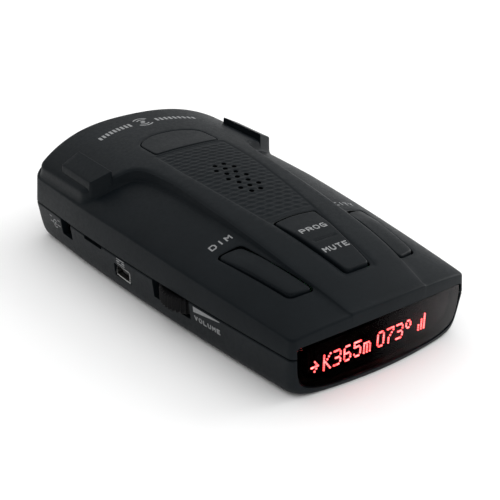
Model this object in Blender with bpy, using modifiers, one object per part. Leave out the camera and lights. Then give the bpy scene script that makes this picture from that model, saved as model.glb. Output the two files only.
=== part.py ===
"""Windscreen radar detector: two-part case, smoked display window, keys, thumbwheel and inner works.

Frame: display end towards -Y, antenna end towards +Y, +Z up, origin under the middle of the case.
"""

import math

import bmesh
import bpy
from mathutils import Matrix, Vector

MM = 0.001

# Overall case
CASE_LENGTH = 126.2 * MM
FRONT_WIDTH = 57.8 * MM
BACK_WIDTH = 70.6 * MM
TAPER_LENGTH = 95.0 * MM
TAPER_POWER = 1.6
FRONT_BULGE = 2.6 * MM
BACK_BULGE = 4.6 * MM
FOOT_FRONT_SHARE = 0.2
FOOT_CORNER_SHARE = 1.3
FRONT_CORNER_RADIUS = 1.6 * MM
BACK_CORNER_RADIUS = 2.8 * MM
SPLIT_Z = 11.7 * MM
WALL = 2.0 * MM
SEAM = 0.3 * MM
GAP = 0.3 * MM
KEY_GAP = 0.35 * MM
RUNNING_FIT = 0.06 * MM

# Crowned top
EDGE_FRONT_Z = 16.3 * MM
EDGE_RISE = 2.3 * MM
EDGE_RISE_LENGTH = 66.0 * MM
CROWN_FRONT = 3.2 * MM
CROWN_BACK = 10.7 * MM
CROWN_RUN = 24.8 * MM
CROWN_POWER = 2.2
CROWN_ROUND = 0.7
TOP_DRAFT = 1.2 * MM
TOP_DRAFT_HEIGHT = 22.0 * MM

# Raised spine, plateau and the two mount ears
SPINE_STEP_FRONT = 0.4 * MM
TIER_STEP = 3.3 * MM
SPINE_RISE_LENGTH = 80.0 * MM
SPINE_FLATTEN = 0.5 * MM
SPINE_FLAT_HALF = 22.0 * MM
TIER_INSET = 1.3 * MM
TIER_BACK_INSET = 2.7 * MM
EAR_HEIGHT = 2.1 * MM
EAR_INNER_X = 26.3 * MM
EAR_OUTER_X = 32.3 * MM
EAR_FRONT = 34.4 * MM
EAR_SWEEP = 2.6 * MM
EAR_LENGTH = 19.9 * MM

# Keys, placed by their distance behind the display corners, and the latch, ahead of the antenna corners
KEY_PROUD = 0.6 * MM
KEY_THICKNESS = 3.3 * MM
KEY_FLANGE = 1.0 * MM
KEY_FLANGE_THICKNESS = 0.9 * MM
KEY_RADIUS = 1.6 * MM
KEY_STEM_RADIUS = 1.5 * MM
SIDE_KEY = [(14.5, 10.1), (20.6, 11.5), (24.6, 35.6), (18.1, 34.5)]
ROCKER_FRONT = 10.3 * MM
ROCKER_BACK = 35.5 * MM
ROCKER_FRONT_HALF = 3.8 * MM
ROCKER_BACK_HALF = 6.8 * MM
ROCKER_PIVOT = 22.8 * MM
ROCKER_THICKNESS = 2.6 * MM
ROCKER_PIVOT_DROP = 5.2 * MM
ROCKER_STEM_RADIUS = 1.3 * MM
PIN_RADIUS = 0.8 * MM
LATCH_FRONT = 33.3 * MM
LATCH_LENGTH = 13.5 * MM
LATCH_HALF = 11.0 * MM
LATCH_THICKNESS = 1.8 * MM
LATCH_PIVOT = 24.7 * MM
LATCH_PIVOT_DROP = 3.6 * MM
LATCH_LUG_HALF = 8.0 * MM
LATCH_CHEEK = 2.4 * MM
LATCH_CHEEK_X = 13.4 * MM

# Speaker grille
GRILLE_ROWS = (2, 3, 2, 3, 2, 3, 2)
GRILLE_SPACING = 3.1 * MM
GRILLE_PITCH = 2.9 * MM
GRILLE_CENTRE = 60.7 * MM
GRILLE_HOLE_RADIUS = 0.75 * MM

# Thumbwheel
WHEEL_RADIUS = 9.5 * MM
WHEEL_THICKNESS = 4.3 * MM
WHEEL_PROUD = 1.6 * MM
WHEEL_PLACE = 45.3 * MM
WHEEL_TEETH = 36
WHEEL_GROOVE = 0.45 * MM
WHEEL_BORE = 1.9 * MM
WHEEL_BOTTOM_Z = 6.7 * MM
POTENTIOMETER_SIZE = (7.6 * MM, 9.6 * MM)

# Side sockets
USB_PLACE = 68.2 * MM
USB_WIDTH = 7.4 * MM
USB_HEIGHT = 3.5 * MM
USB_DEPTH = 9.0 * MM
JACK_PLACE = 20.2 * MM
JACK_OPENING = (6.2 * MM, 5.2 * MM)
JACK_BODY_WIDTH = 9.2 * MM
JACK_BODY_DEPTH = 11.5 * MM
JACK_BODY_HEIGHT = 7.8 * MM
JACK_SETBACK = WALL + 1.6 * MM
JACK_BORE = 2.5 * MM
JACK_PIN_RADIUS = 0.9 * MM
VENT_PLACE = 36.2 * MM
VENT_LENGTH = 9.5 * MM
VENT_HEIGHT = 0.9 * MM

# Boards, screws and inner works
BOARD_Z = 3.2 * MM
BOARD_THICKNESS = 1.6 * MM
BOARD_INSET = 5.0 * MM
BOARD_POST_RADIUS = 2.0 * MM
KEY_BOARD_Z = 13.2 * MM
KEY_BOARD_THICKNESS = 1.2 * MM
KEY_BOARD_HALF = 22.0 * MM
BOSS_RADIUS = 2.8 * MM
BOSS_FRONT = (24.8 * MM, 10.5 * MM)
BOSS_BACK = (29.5 * MM, 8.3 * MM)
SCREW_RADIUS = 1.1 * MM
SCREW_HEAD_RADIUS = 2.1 * MM
SCREW_HEAD_HEIGHT = 1.5 * MM
SCREW_RECESS = 2.6 * MM
SCREW_TIP_Z = 17.0 * MM
SPEAKER_RADIUS = 14.0 * MM
SPEAKER_TOP_Z = 26.1 * MM
HORN_MOUTH = (40.0 * MM, 15.0 * MM)
HORN_THROAT = (14.0 * MM, 7.0 * MM)
HORN_MOUTH_PLACE = 0.6 * MM
HORN_FLARE = 22.0 * MM
HORN_BODY = 16.0 * MM
HORN_WALL = 1.2 * MM
LASER_HALF = 8.5 * MM
LASER_Z = 23.8 * MM
LASER_HEIGHT = 5.6 * MM
LENS_INSET = 0.35 * MM
LENS_THICKNESS = 2.0 * MM
LENS_GAP = 0.3 * MM
DISPLAY_GLASS = (43.0 * MM, 2.8 * MM, 9.6 * MM)
DISPLAY_Z = 9.3 * MM
DISPLAY_BOARD = (40.0 * MM, 1.4 * MM, 9.0 * MM)
DISPLAY_HEADER = (16.0 * MM, 3.0 * MM, 3.0 * MM)
LABEL_SIZE = (40.0 * MM, 24.0 * MM, 0.2 * MM)
LABEL_RECESS = 0.6 * MM
FAR = 40.0 * MM

# Push switches on the key board
SWITCH_SIZE = 6.0 * MM
SWITCH_HEIGHT = 2.5 * MM
PLUNGER_RADIUS = 1.6 * MM
PLUNGER_PROUD = 0.8 * MM
PLUNGER_LENGTH = 1.9 * MM
PRESS_TRAVEL = 0.5 * MM
ROCKER_SWITCHES = (("mute", 15.8 * MM), ("prog", 30.6 * MM))

FRONT_LINE = -CASE_LENGTH / 2 + FRONT_BULGE
BACK_LINE = CASE_LENGTH / 2 - BACK_BULGE
BOARD_TOP = BOARD_Z + BOARD_THICKNESS
HORN_Z = BOARD_TOP + GAP + HORN_MOUTH[1] / 2
KEY_BOARD_TOP = KEY_BOARD_Z + KEY_BOARD_THICKNESS

COLLECTIONS = {}
MATERIALS = {}


def clear_scene():
    for obj in list(bpy.data.objects):
        bpy.data.objects.remove(obj, do_unlink=True)


def collection(name):
    if name not in COLLECTIONS:
        COLLECTIONS[name] = bpy.data.collections.new(name)
        bpy.context.scene.collection.children.link(COLLECTIONS[name])
    return COLLECTIONS[name]


def material(name, colour, roughness, metallic=0.0):
    if name not in MATERIALS:
        made = bpy.data.materials.new(name)
        made.use_nodes = True
        shader = made.node_tree.nodes["Principled BSDF"]
        shader.inputs["Base Color"].default_value = (*colour, 1.0)
        shader.inputs["Roughness"].default_value = roughness
        shader.inputs["Metallic"].default_value = metallic
        MATERIALS[name] = made
    return MATERIALS[name]


def case_plastic():
    return material("case_plastic", (0.018, 0.02, 0.023), 0.5)


def key_plastic():
    return material("key_plastic", (0.016, 0.018, 0.021), 0.45)


def smoked_window():
    return material("smoked_window", (0.03, 0.02, 0.022), 0.12)


def circuit_board():
    return material("circuit_board", (0.02, 0.13, 0.05), 0.45)


def black_resin():
    return material("black_resin", (0.012, 0.012, 0.013), 0.4)


def tin_plate():
    return material("tin_plate", (0.62, 0.62, 0.6), 0.3, 1.0)


def zinc_casting():
    return material("zinc_casting", (0.45, 0.45, 0.44), 0.45, 1.0)


def steel():
    return material("steel", (0.5, 0.5, 0.52), 0.28, 1.0)


def brass():
    return material("brass", (0.75, 0.55, 0.22), 0.3, 1.0)


def ceramic():
    return material("ceramic", (0.72, 0.68, 0.58), 0.6)


def paper_cone():
    return material("paper_cone", (0.05, 0.05, 0.05), 0.9)


def display_glass_finish():
    return material("display_glass_finish", (0.06, 0.01, 0.01), 0.15)


def label_film():
    return material("label_film", (0.35, 0.36, 0.37), 0.5)


def behind(distance):
    """World Y of a point this far behind the display corners."""
    return FRONT_LINE + distance


def ahead(distance):
    """World Y of a point this far ahead of the antenna corners."""
    return BACK_LINE - distance


def half_width(y):
    share = min(max((y - FRONT_LINE) / TAPER_LENGTH, 0.0), 1.0)
    spread = (BACK_WIDTH - FRONT_WIDTH) / 2
    return FRONT_WIDTH / 2 + spread * (1 - (1 - share) ** TAPER_POWER)


def deck_height(x, y):
    """Height of the crowned top, without the spine and plateau."""
    run = max(y - FRONT_LINE, 0.0)
    edge = EDGE_FRONT_Z + EDGE_RISE * min(run / EDGE_RISE_LENGTH, 1.0)
    crown = CROWN_FRONT + (CROWN_BACK - CROWN_FRONT) * (1 - math.exp(-run / CROWN_RUN))
    share = min(abs(x) / half_width(y), 1.0)
    return edge + crown * (1 - share**CROWN_POWER) ** CROWN_ROUND


def raised_height(x, y):
    """Height of the spine and plateau, which stand on the crowned top with a flatter middle."""
    run = min(max(y - FRONT_LINE, 0.0) / SPINE_RISE_LENGTH, 1.0)
    step = SPINE_STEP_FRONT + (TIER_STEP - SPINE_STEP_FRONT) * run
    flat = (1 - min(abs(x) / SPINE_FLAT_HALF, 1.0) ** 2) ** 2
    return deck_height(x, y) + step - SPINE_FLATTEN * flat * step / TIER_STEP


def rounded(points, radius, steps=3):
    """The closed outline with each corner replaced by an arc of the given radius."""
    result = []
    count = len(points)
    for index, corner in enumerate(points):
        here = Vector(corner)
        before = Vector(points[index - 1]) - here
        after = Vector(points[(index + 1) % count]) - here
        half_angle = before.angle(after) / 2
        reach = min(radius / math.tan(half_angle), before.length * 0.45, after.length * 0.45)
        start = here + before.normalized() * reach
        end = here + after.normalized() * reach
        for step in range(steps + 1):
            share = step / steps
            curve = start.lerp(here, share).lerp(here.lerp(end, share), share)
            result.append((curve.x, curve.y))
    return result


def case_outline(inset, foot=0.0):
    """Plan outline of the case drawn in by the inset, anticlockwise from the display end.

    The foot inset rounds the underside off, and does so less at the display end.
    """
    side_inset = inset + foot
    front_half = half_width(FRONT_LINE) - side_inset
    back_half = half_width(BACK_LINE) - side_inset
    front_y = FRONT_LINE + inset + FOOT_FRONT_SHARE * foot
    back_y = BACK_LINE - side_inset
    front_steps = 8
    side_steps = 9
    back_steps = 10
    corner = FRONT_CORNER_RADIUS + FOOT_CORNER_SHARE * foot
    points = []
    for step in range(front_steps + 1):
        x = (front_half - corner) * (2 * step / front_steps - 1)
        points.append((x, front_y - FRONT_BULGE * (1 - (x / front_half) ** 2)))
    points.append((front_half - corner * 0.3, front_y + corner * 0.15))
    start = front_y + corner
    end = back_y - BACK_CORNER_RADIUS
    for step in range(side_steps + 1):
        y = start + (end - start) * step / side_steps
        points.append((half_width(y) - side_inset, y))
    points.append((back_half - BACK_CORNER_RADIUS * 0.3, back_y - BACK_CORNER_RADIUS * 0.2))
    for step in range(back_steps + 1):
        x = (back_half - BACK_CORNER_RADIUS) * (1 - 2 * step / back_steps)
        points.append((x, back_y + BACK_BULGE * (1 - (x / back_half) ** 2)))
    mirrored = [(-x, y) for x, y in points[front_steps + 1 : front_steps + side_steps + 4]]
    return points + mirrored[::-1]


def add_object(name, mesh_builder, finish=None):
    """A new object from a filled bmesh: a part when it has a finish, a cutter when it has none."""
    mesh = bpy.data.meshes.new(name)
    bmesh.ops.recalc_face_normals(mesh_builder, faces=mesh_builder.faces)
    mesh_builder.to_mesh(mesh)
    mesh_builder.free()
    obj = bpy.data.objects.new(name, mesh)
    if finish is None:
        collection("cutters").objects.link(obj)
        obj.hide_render = True
        obj.display_type = "WIRE"
    else:
        collection("radar_detector").objects.link(obj)
        mesh.materials.append(finish)
    return obj


def loft(name, rings, finish=None):
    """A closed solid through rings of equal point count, with flat ends."""
    builder = bmesh.new()
    rows = [[builder.verts.new(point) for point in ring] for ring in rings]
    for low, high in zip(rows, rows[1:]):
        for index in range(len(low)):
            after = (index + 1) % len(low)
            builder.faces.new((low[index], low[after], high[after], high[index]))
    builder.faces.new(rows[0])
    builder.faces.new(rows[-1])
    return add_object(name, builder, finish)


def case_stack(name, levels, finish=None):
    """The case outline lofted through (inset, foot inset, height) levels."""
    rings = [[(x, y, z) for x, y in case_outline(inset, foot)] for inset, foot, z in levels]
    return loft(name, rings, finish)


def prism(name, outline, low, high, finish=None):
    """An outline in plan extruded from the low to the high Z."""
    rings = [[(x, y, z) for x, y in outline] for z in (low, high)]
    return loft(name, rings, finish)


def box(name, centre, size, finish=None):
    builder = bmesh.new()
    bmesh.ops.create_cube(builder, size=1.0)
    bmesh.ops.scale(builder, vec=size, verts=builder.verts)
    obj = add_object(name, builder, finish)
    obj.location = centre
    return obj


def rod(name, centre, radius, length, finish=None, axis="Z", sides=16):
    builder = bmesh.new()
    bmesh.ops.create_cone(
        builder, cap_ends=True, segments=sides, radius1=radius, radius2=radius, depth=length
    )
    if axis != "Z":
        turn = Matrix.Rotation(math.pi / 2, 3, "Y" if axis == "X" else "X")
        bmesh.ops.rotate(builder, matrix=turn, verts=builder.verts)
    obj = add_object(name, builder, finish)
    obj.location = centre
    if finish is not None:
        obj.data.shade_smooth()
        obj.data.set_sharp_from_angle(angle=math.radians(40))
    return obj


def turned(name, centre, profile, finish=None, steps=24):
    """A turned piece: the profile at +X from top to bottom, spun about a vertical axis."""
    builder = bmesh.new()
    closed = profile[0] == profile[-1]
    line = [builder.verts.new((radius, 0.0, height)) for radius, height in profile[closed:]]
    for start, end in zip(line, line[1:]):
        builder.edges.new((start, end))
    if closed:
        builder.edges.new((line[-1], line[0]))
    obj = add_object(name, builder, finish)
    obj.location = centre
    spin = obj.modifiers.new("spin", "SCREW")
    spin.steps = steps
    spin.render_steps = steps
    spin.use_merge_vertices = True
    spin.merge_threshold = 0.00001
    spin.use_smooth_shade = False
    return obj


def crowned_block(name, height, lift, depth=None):
    """A block whose top follows a height rule. With a depth its underside follows the rule too."""
    columns = 18
    rows = 30
    overhang = 6.0 * MM
    spread = 1.7
    builder = bmesh.new()
    bmesh.ops.create_grid(builder, x_segments=columns, y_segments=rows, size=1.0)
    reach = CASE_LENGTH / 2 + overhang
    for vertex in builder.verts:
        across = 1 - (1 - abs(vertex.co.x)) ** spread
        y = vertex.co.y * reach
        x = math.copysign(across, vertex.co.x) * (half_width(y) + overhang * (abs(vertex.co.x) > 0.99))
        vertex.co = (x, y, height(x, y) + lift)
    below = bmesh.ops.extrude_face_region(builder, geom=list(builder.faces))
    for item in below["geom"]:
        if isinstance(item, bmesh.types.BMVert):
            item.co.z = item.co.z - depth if depth is not None else -overhang
    return add_object(name, builder)


def combine(obj, other, operation):
    step = obj.modifiers.new(operation.lower() + "_" + other.name, "BOOLEAN")
    step.operation = operation
    step.solver = "EXACT"
    step.object = other
    return obj


def cut(obj, other):
    return combine(obj, other, "DIFFERENCE")


def join(obj, other):
    return combine(obj, other, "UNION")


def keep_inside(obj, other):
    return combine(obj, other, "INTERSECT")


def raised_outline(inset):
    """Plan outline of the spine and plateau, drawn in by the inset."""
    spine = [
        (11.4, -8.0),
        (13.4, 5.4),
        (15.2, 18.2),
        (15.9, 33.7),
        (16.6, 50.0),
        (17.2, 69.0),
    ]
    shoulder = [(17.9, 7.2), (19.3, 3.8), (21.8, 1.8)]
    front = ahead(EAR_FRONT)
    half = [(x * MM - inset, behind(y * MM)) for x, y in spine]
    half += [(x * MM - inset, front - y * MM) for x, y in shoulder]
    half.append((EAR_INNER_X, front + inset))
    half.append((EAR_OUTER_X, front + EAR_SWEEP + inset))
    tier_half = half_width(front) - TIER_INSET - inset
    half.append((tier_half, front + 2 * EAR_SWEEP + inset))
    end = BACK_LINE - TIER_BACK_INSET - inset
    half.append((tier_half, end - BACK_CORNER_RADIUS))
    half.append((tier_half - 0.3 * BACK_CORNER_RADIUS, end - 0.2 * BACK_CORNER_RADIUS))
    arc_steps = 5
    for step in range(arc_steps):
        x = 0.93 * tier_half * (1 - step / arc_steps)
        half.append((x, end + BACK_BULGE * (1 - (x / tier_half) ** 2)))
    return half + [(0.0, end + BACK_BULGE)] + [(-x, y) for x, y in half[::-1]]


def ear_outline(side):
    front = ahead(EAR_FRONT)
    corners = [
        (EAR_INNER_X, front),
        (EAR_OUTER_X, front + EAR_SWEEP),
        (EAR_OUTER_X, front + EAR_LENGTH),
        (EAR_INNER_X, front + EAR_LENGTH),
    ]
    return [(side * x, y) for x, y in corners]


def ear_top(x):
    """Height of the flat seat on an ear, which slopes from its inner to its outer edge."""
    middle = ahead(EAR_FRONT) + EAR_LENGTH / 2
    inner = raised_height(EAR_INNER_X, middle)
    outer = raised_height(EAR_OUTER_X, middle)
    share = (abs(x) - EAR_INNER_X) / (EAR_OUTER_X - EAR_INNER_X)
    return inner + (outer - inner) * share + EAR_HEIGHT


def side_key_outline(side, grow):
    """Outline of a side key, with its corners pushed out from the middle by the growth."""
    corners = [Vector((side * x * MM, behind(y * MM))) for x, y in SIDE_KEY]
    middle = sum(corners, Vector((0.0, 0.0))) / len(corners)
    moved = []
    for corner in corners:
        away = corner - middle
        moved.append(corner + Vector((math.copysign(grow, away.x), math.copysign(grow, away.y))))
    return rounded([tuple(point) for point in moved], KEY_RADIUS)


def rocker_outline(grow):
    back = behind(ROCKER_BACK) + grow
    front = behind(ROCKER_FRONT) - grow
    corners = [
        (ROCKER_FRONT_HALF + grow, front),
        (ROCKER_BACK_HALF + grow, back - KEY_RADIUS / 4),
        (0.0, back + KEY_RADIUS / 4),
        (-ROCKER_BACK_HALF - grow, back - KEY_RADIUS / 4),
        (-ROCKER_FRONT_HALF - grow, front),
    ]
    return rounded(corners, KEY_RADIUS / 2, steps=2)


def latch_outline(grow):
    """A tab with a straight front, near-straight sides and an arched back."""
    front = ahead(LATCH_FRONT) - grow
    half = LATCH_HALF + grow
    shoulder = ahead(LATCH_FRONT) + LATCH_LENGTH * 0.55
    arch = ahead(LATCH_FRONT) + LATCH_LENGTH + grow - shoulder
    points = [(-half, front), (half, front)]
    arch_steps = 10
    for step in range(arch_steps + 1):
        angle = math.pi * step / arch_steps
        points.append((half * math.cos(angle), shoulder + arch * math.sin(angle)))
    return points


def boss_places():
    front = (BOSS_FRONT[0], behind(BOSS_FRONT[1]))
    back = (BOSS_BACK[0], ahead(BOSS_BACK[1]))
    for along, (x, y) in (("front", front), ("back", back)):
        for side in (-1, 1):
            hand = "left" if side < 0 else "right"
            yield along + "_" + hand, side * x, y


def lens_outline(grow):
    """Window outline seen from the front, as (x, z) points anticlockwise from the lower right."""
    half = FRONT_WIDTH / 2 - 1.7 * MM
    top = EDGE_FRONT_Z - 1.8 * MM
    crown = 2.1 * MM
    sides = [(0.66, 1.7), (0.86, 2.6), (0.955, 4.4), (0.985, 7.5), (1.0, 11.0)]
    right = [(half * x + grow, z * MM - grow) for x, z in sides]
    arc_steps = 6
    points = list(right)
    for step in range(arc_steps + 1):
        share = 1 - 2 * step / arc_steps
        points.append(((half + grow) * share, top + grow + crown * (1 - share**2)))
    return points + [(-x, z) for x, z in right[::-1]]


def lens_prism(name, grow):
    start = -CASE_LENGTH / 2 - WALL
    end = FRONT_LINE + WALL + 3 * GAP + grow
    rings = [[(x, y, z) for x, z in lens_outline(grow)] for y in (start, end)]
    return loft(name, rings)


def bottom_levels(inset, lift, top):
    """Levels of the lower case from its rounded foot to the top, moved in and up."""
    foot = [(4.6, 0.0), (2.6, 0.5), (1.5, 1.7), (0.9, 4.0)]
    return [(inset, level * MM, z * MM + lift) for level, z in foot] + [(inset, 0.0, top)]


def make_top_case():
    case = case_stack(
        "top_case",
        [(0.0, 0.0, SPLIT_Z), (TOP_DRAFT, 0.0, SPLIT_Z + TOP_DRAFT_HEIGHT)],
        case_plastic(),
    )
    keep_inside(case, crowned_block("deck_surface", deck_height, 0.0))
    raised = prism("raised_zone", raised_outline(0.0), SPLIT_Z + WALL, FAR)
    keep_inside(raised, crowned_block("raised_surface", raised_height, 0.0))
    for side, hand in ((-1, "left"), (1, "right")):
        corners = ear_outline(side)
        base = [(x, y, SPLIT_Z + 2 * WALL) for x, y in corners]
        seat = [(x, y, ear_top(x)) for x, y in corners]
        join(raised, loft("ear_" + hand, [base, seat]))
    keep_inside(raised, case_stack("case_envelope", [(0.0, 0.0, 0.0), (0.0, 0.0, FAR)]))
    join(case, raised)
    cut(case, lens_prism("top_window_hole", LENS_GAP))
    cavity = case_stack("deck_cavity", [(WALL, 0.0, 0.0), (TOP_DRAFT + WALL, 0.0, FAR)])
    keep_inside(cavity, crowned_block("deck_underside", deck_height, -WALL))
    cut(case, cavity)
    hollow = prism("raised_hollow", raised_outline(WALL), SPLIT_Z - WALL, FAR)
    keep_inside(hollow, crowned_block("raised_underside", raised_height, -WALL))
    keep_inside(hollow, case_stack("hollow_envelope", [(WALL, 0.0, 0.0), (TOP_DRAFT + WALL, 0.0, FAR)]))
    cut(case, hollow)
    for name, x, y in boss_places():
        roof = raised_height if y > ahead(EAR_FRONT) else deck_height
        boss = rod("top_boss_" + name, (x, y, SPLIT_Z + FAR / 2), BOSS_RADIUS, FAR)
        keep_inside(boss, crowned_block("boss_top_" + name, roof, -WALL / 2))
        join(case, boss)
        centre = (x, y, SCREW_TIP_Z / 2)
        cut(case, rod("top_bore_" + name, centre, SCREW_RADIUS + GAP, SCREW_TIP_Z + GAP, sides=12))
    for side, hand in ((-1, "left"), (1, "right")):
        cut(case, prism("key_hole_" + hand, side_key_outline(side, KEY_GAP), SPLIT_Z, FAR))
    cut(case, prism("rocker_hole", rocker_outline(KEY_GAP), SPLIT_Z, FAR))
    cut(case, prism("latch_hole", latch_outline(KEY_GAP), SPLIT_Z, FAR))
    add_latch_cheeks(case)
    for index, (x, y) in enumerate(grille_places()):
        centre = (x, y, FAR * 0.7)
        cut(case, rod(f"grille_hole_{index}", centre, GRILLE_HOLE_RADIUS, FAR / 2, sides=8))
    cut(case, laser_hole())
    return case


def laser_hole():
    size = (2 * (LASER_HALF + GAP), 3 * WALL + BACK_BULGE, LASER_HEIGHT + 2 * GAP)
    return box("laser_hole", (0.0, CASE_LENGTH / 2, LASER_Z), size)


def grille_places():
    rows = len(GRILLE_ROWS)
    for row, count in enumerate(GRILLE_ROWS):
        y = behind(GRILLE_CENTRE) + (row - (rows - 1) / 2) * GRILLE_PITCH
        for place in range(count):
            yield (place - (count - 1) / 2) * GRILLE_SPACING, y


def make_bottom_case():
    top = SPLIT_Z - SEAM
    case = case_stack("bottom_case", bottom_levels(0.0, 0.0, top), case_plastic())
    cut(case, case_stack("bottom_cavity", bottom_levels(WALL, WALL, top + WALL)))
    for name, x, y in boss_places():
        height = top - WALL / 2
        join(case, rod("bottom_boss_" + name, (x, y, WALL / 2 + height / 2), BOSS_RADIUS + GAP, height))
        cut(case, rod("bottom_bore_" + name, (x, y, top / 2), SCREW_RADIUS + GAP, top + WALL, sides=12))
        recess = SCREW_HEAD_RADIUS + GAP
        cut(case, rod("screw_recess_" + name, (x, y, 0.0), recess, 2 * (SCREW_RECESS + GAP)))
    for name, x, y in board_screw_places():
        height = BOARD_Z - GAP - WALL / 2
        centre = (x, y, WALL / 2 + height / 2)
        join(case, rod("board_post_" + name, centre, BOARD_POST_RADIUS, height, sides=12))
    wall_x = -half_width(behind(WHEEL_PLACE))
    span = 4 * WALL
    slot_low = WHEEL_BOTTOM_Z - 2 * GAP
    reach = WHEEL_RADIUS - WHEEL_PROUD - 1.5 * WALL
    slot_length = 2 * math.sqrt(WHEEL_RADIUS**2 - reach**2) + 4 * GAP
    slot = (1.5 * span, slot_length, top - slot_low + WALL)
    cut(case, box("wheel_slot", (wall_x, behind(WHEEL_PLACE), slot_low + slot[2] / 2), slot))
    usb = (span, USB_WIDTH + 2 * GAP, USB_HEIGHT + 2 * GAP)
    usb_x = -half_width(behind(USB_PLACE))
    cut(case, box("usb_hole", (usb_x, behind(USB_PLACE), usb_z()), usb))
    jack_x = -half_width(ahead(JACK_PLACE))
    jack = (span, *JACK_OPENING)
    cut(case, box("jack_hole", (jack_x, ahead(JACK_PLACE), jack_z()), jack))
    vent = (span, VENT_LENGTH, 2 * VENT_HEIGHT)
    cut(case, box("vent_slot", (-half_width(ahead(VENT_PLACE)), ahead(VENT_PLACE), top), vent))
    cut(case, lens_prism("bottom_window_hole", LENS_GAP))
    recess = (LABEL_SIZE[0] + 2 * GAP, LABEL_SIZE[1] + 2 * GAP, 2 * LABEL_RECESS)
    cut(case, box("label_recess", (0.0, 0.0, 0.0), recess))
    return case


def usb_z():
    return BOARD_TOP + GAP + USB_HEIGHT / 2


def jack_z():
    return BOARD_TOP + GAP + JACK_BODY_HEIGHT / 2


def board_screw_places():
    for name, x, distance in (("front", 12.0, 22.0), ("back", 26.0, 88.0)):
        yield name, x * MM, behind(distance * MM)


def make_display():
    lens = case_stack("display_lens", lens_levels(LENS_INSET, 0.0), smoked_window())
    cut(lens, case_stack("lens_hollow", lens_levels(LENS_INSET + LENS_THICKNESS, -WALL)))
    keep_inside(lens, lens_prism("lens_shape", 0.0))
    glass = DISPLAY_GLASS
    glass_y = -CASE_LENGTH / 2 + LENS_INSET + LENS_THICKNESS + FRONT_BULGE + 2 * GAP + glass[1] / 2
    box("display_module", (0.0, glass_y, DISPLAY_Z), glass, display_glass_finish())
    board = DISPLAY_BOARD
    board_y = glass_y + glass[1] / 2 + GAP + board[1] / 2
    box("display_board", (0.0, board_y, BOARD_TOP + board[2] / 2 + GAP), board, circuit_board())
    header = DISPLAY_HEADER
    header_y = board_y + board[1] / 2 + GAP + header[1] / 2
    box("display_header", (0.0, header_y, BOARD_TOP + GAP + header[2] / 2), header, black_resin())


def lens_levels(inset, lowest):
    """Levels of both case halves together, drawn in, with the lowest moved to the given height."""
    levels = bottom_levels(inset, 0.0, SPLIT_Z)
    levels[0] = (inset, levels[0][1], lowest)
    return levels + [(inset + TOP_DRAFT, 0.0, SPLIT_Z + TOP_DRAFT_HEIGHT - lowest)]


def make_side_key(name, side):
    """A side key: sloping cap, retaining flange under the case wall, and a stem over its switch."""
    x, y = side_switch_place(side)
    key = prism(name, side_key_outline(side, 0.0), SPLIT_Z, FAR, key_plastic())
    keep_inside(key, crowned_block(name + "_slab", deck_height, KEY_PROUD, KEY_THICKNESS + KEY_PROUD))
    flange = prism(name + "_flange", side_key_outline(side, KEY_FLANGE), SPLIT_Z, FAR)
    slab = crowned_block(name + "_flange_slab", deck_height, -WALL - KEY_GAP, KEY_FLANGE_THICKNESS)
    keep_inside(flange, slab)
    join(key, flange)
    low = plunger_top() + GAP
    high = deck_height(x, y) - KEY_THICKNESS / 2
    centre = (x, y, (low + high) / 2)
    join(key, rod(name + "_stem", centre, KEY_STEM_RADIUS, high - low, sides=12))
    return key


def side_switch_place(side):
    return side * 18.6 * MM, behind(22.5 * MM)


def plunger_top():
    return KEY_BOARD_TOP + GAP + SWITCH_HEIGHT + PLUNGER_PROUD


def make_switch(name, x, y, moving):
    """A push switch on the key board; the moving plunger is its own piece."""
    z = KEY_BOARD_TOP + GAP + SWITCH_HEIGHT / 2
    body = box(name + "_switch", (x, y, z), (SWITCH_SIZE, SWITCH_SIZE, SWITCH_HEIGHT), black_resin())
    if not moving:
        cap_top = z + SWITCH_HEIGHT / 2 + PLUNGER_PROUD
        cap_height = PLUNGER_PROUD + SWITCH_HEIGHT / 2
        cap = rod(name + "_cap", (x, y, cap_top - cap_height / 2), PLUNGER_RADIUS, cap_height, sides=12)
        join(body, cap)
        return
    depth = PLUNGER_LENGTH - PLUNGER_PROUD + PRESS_TRAVEL + GAP
    top = z + SWITCH_HEIGHT / 2
    cut(body, rod(name + "_well", (x, y, top), PLUNGER_RADIUS + RUNNING_FIT, 2 * depth, sides=12))
    centre = (x, y, top + PLUNGER_PROUD - PLUNGER_LENGTH / 2)
    rod(name + "_plunger", centre, PLUNGER_RADIUS, PLUNGER_LENGTH, key_plastic(), sides=12)


def rocker_pivot():
    y = behind(ROCKER_PIVOT)
    return y, raised_height(0.0, y) - ROCKER_PIVOT_DROP


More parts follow.
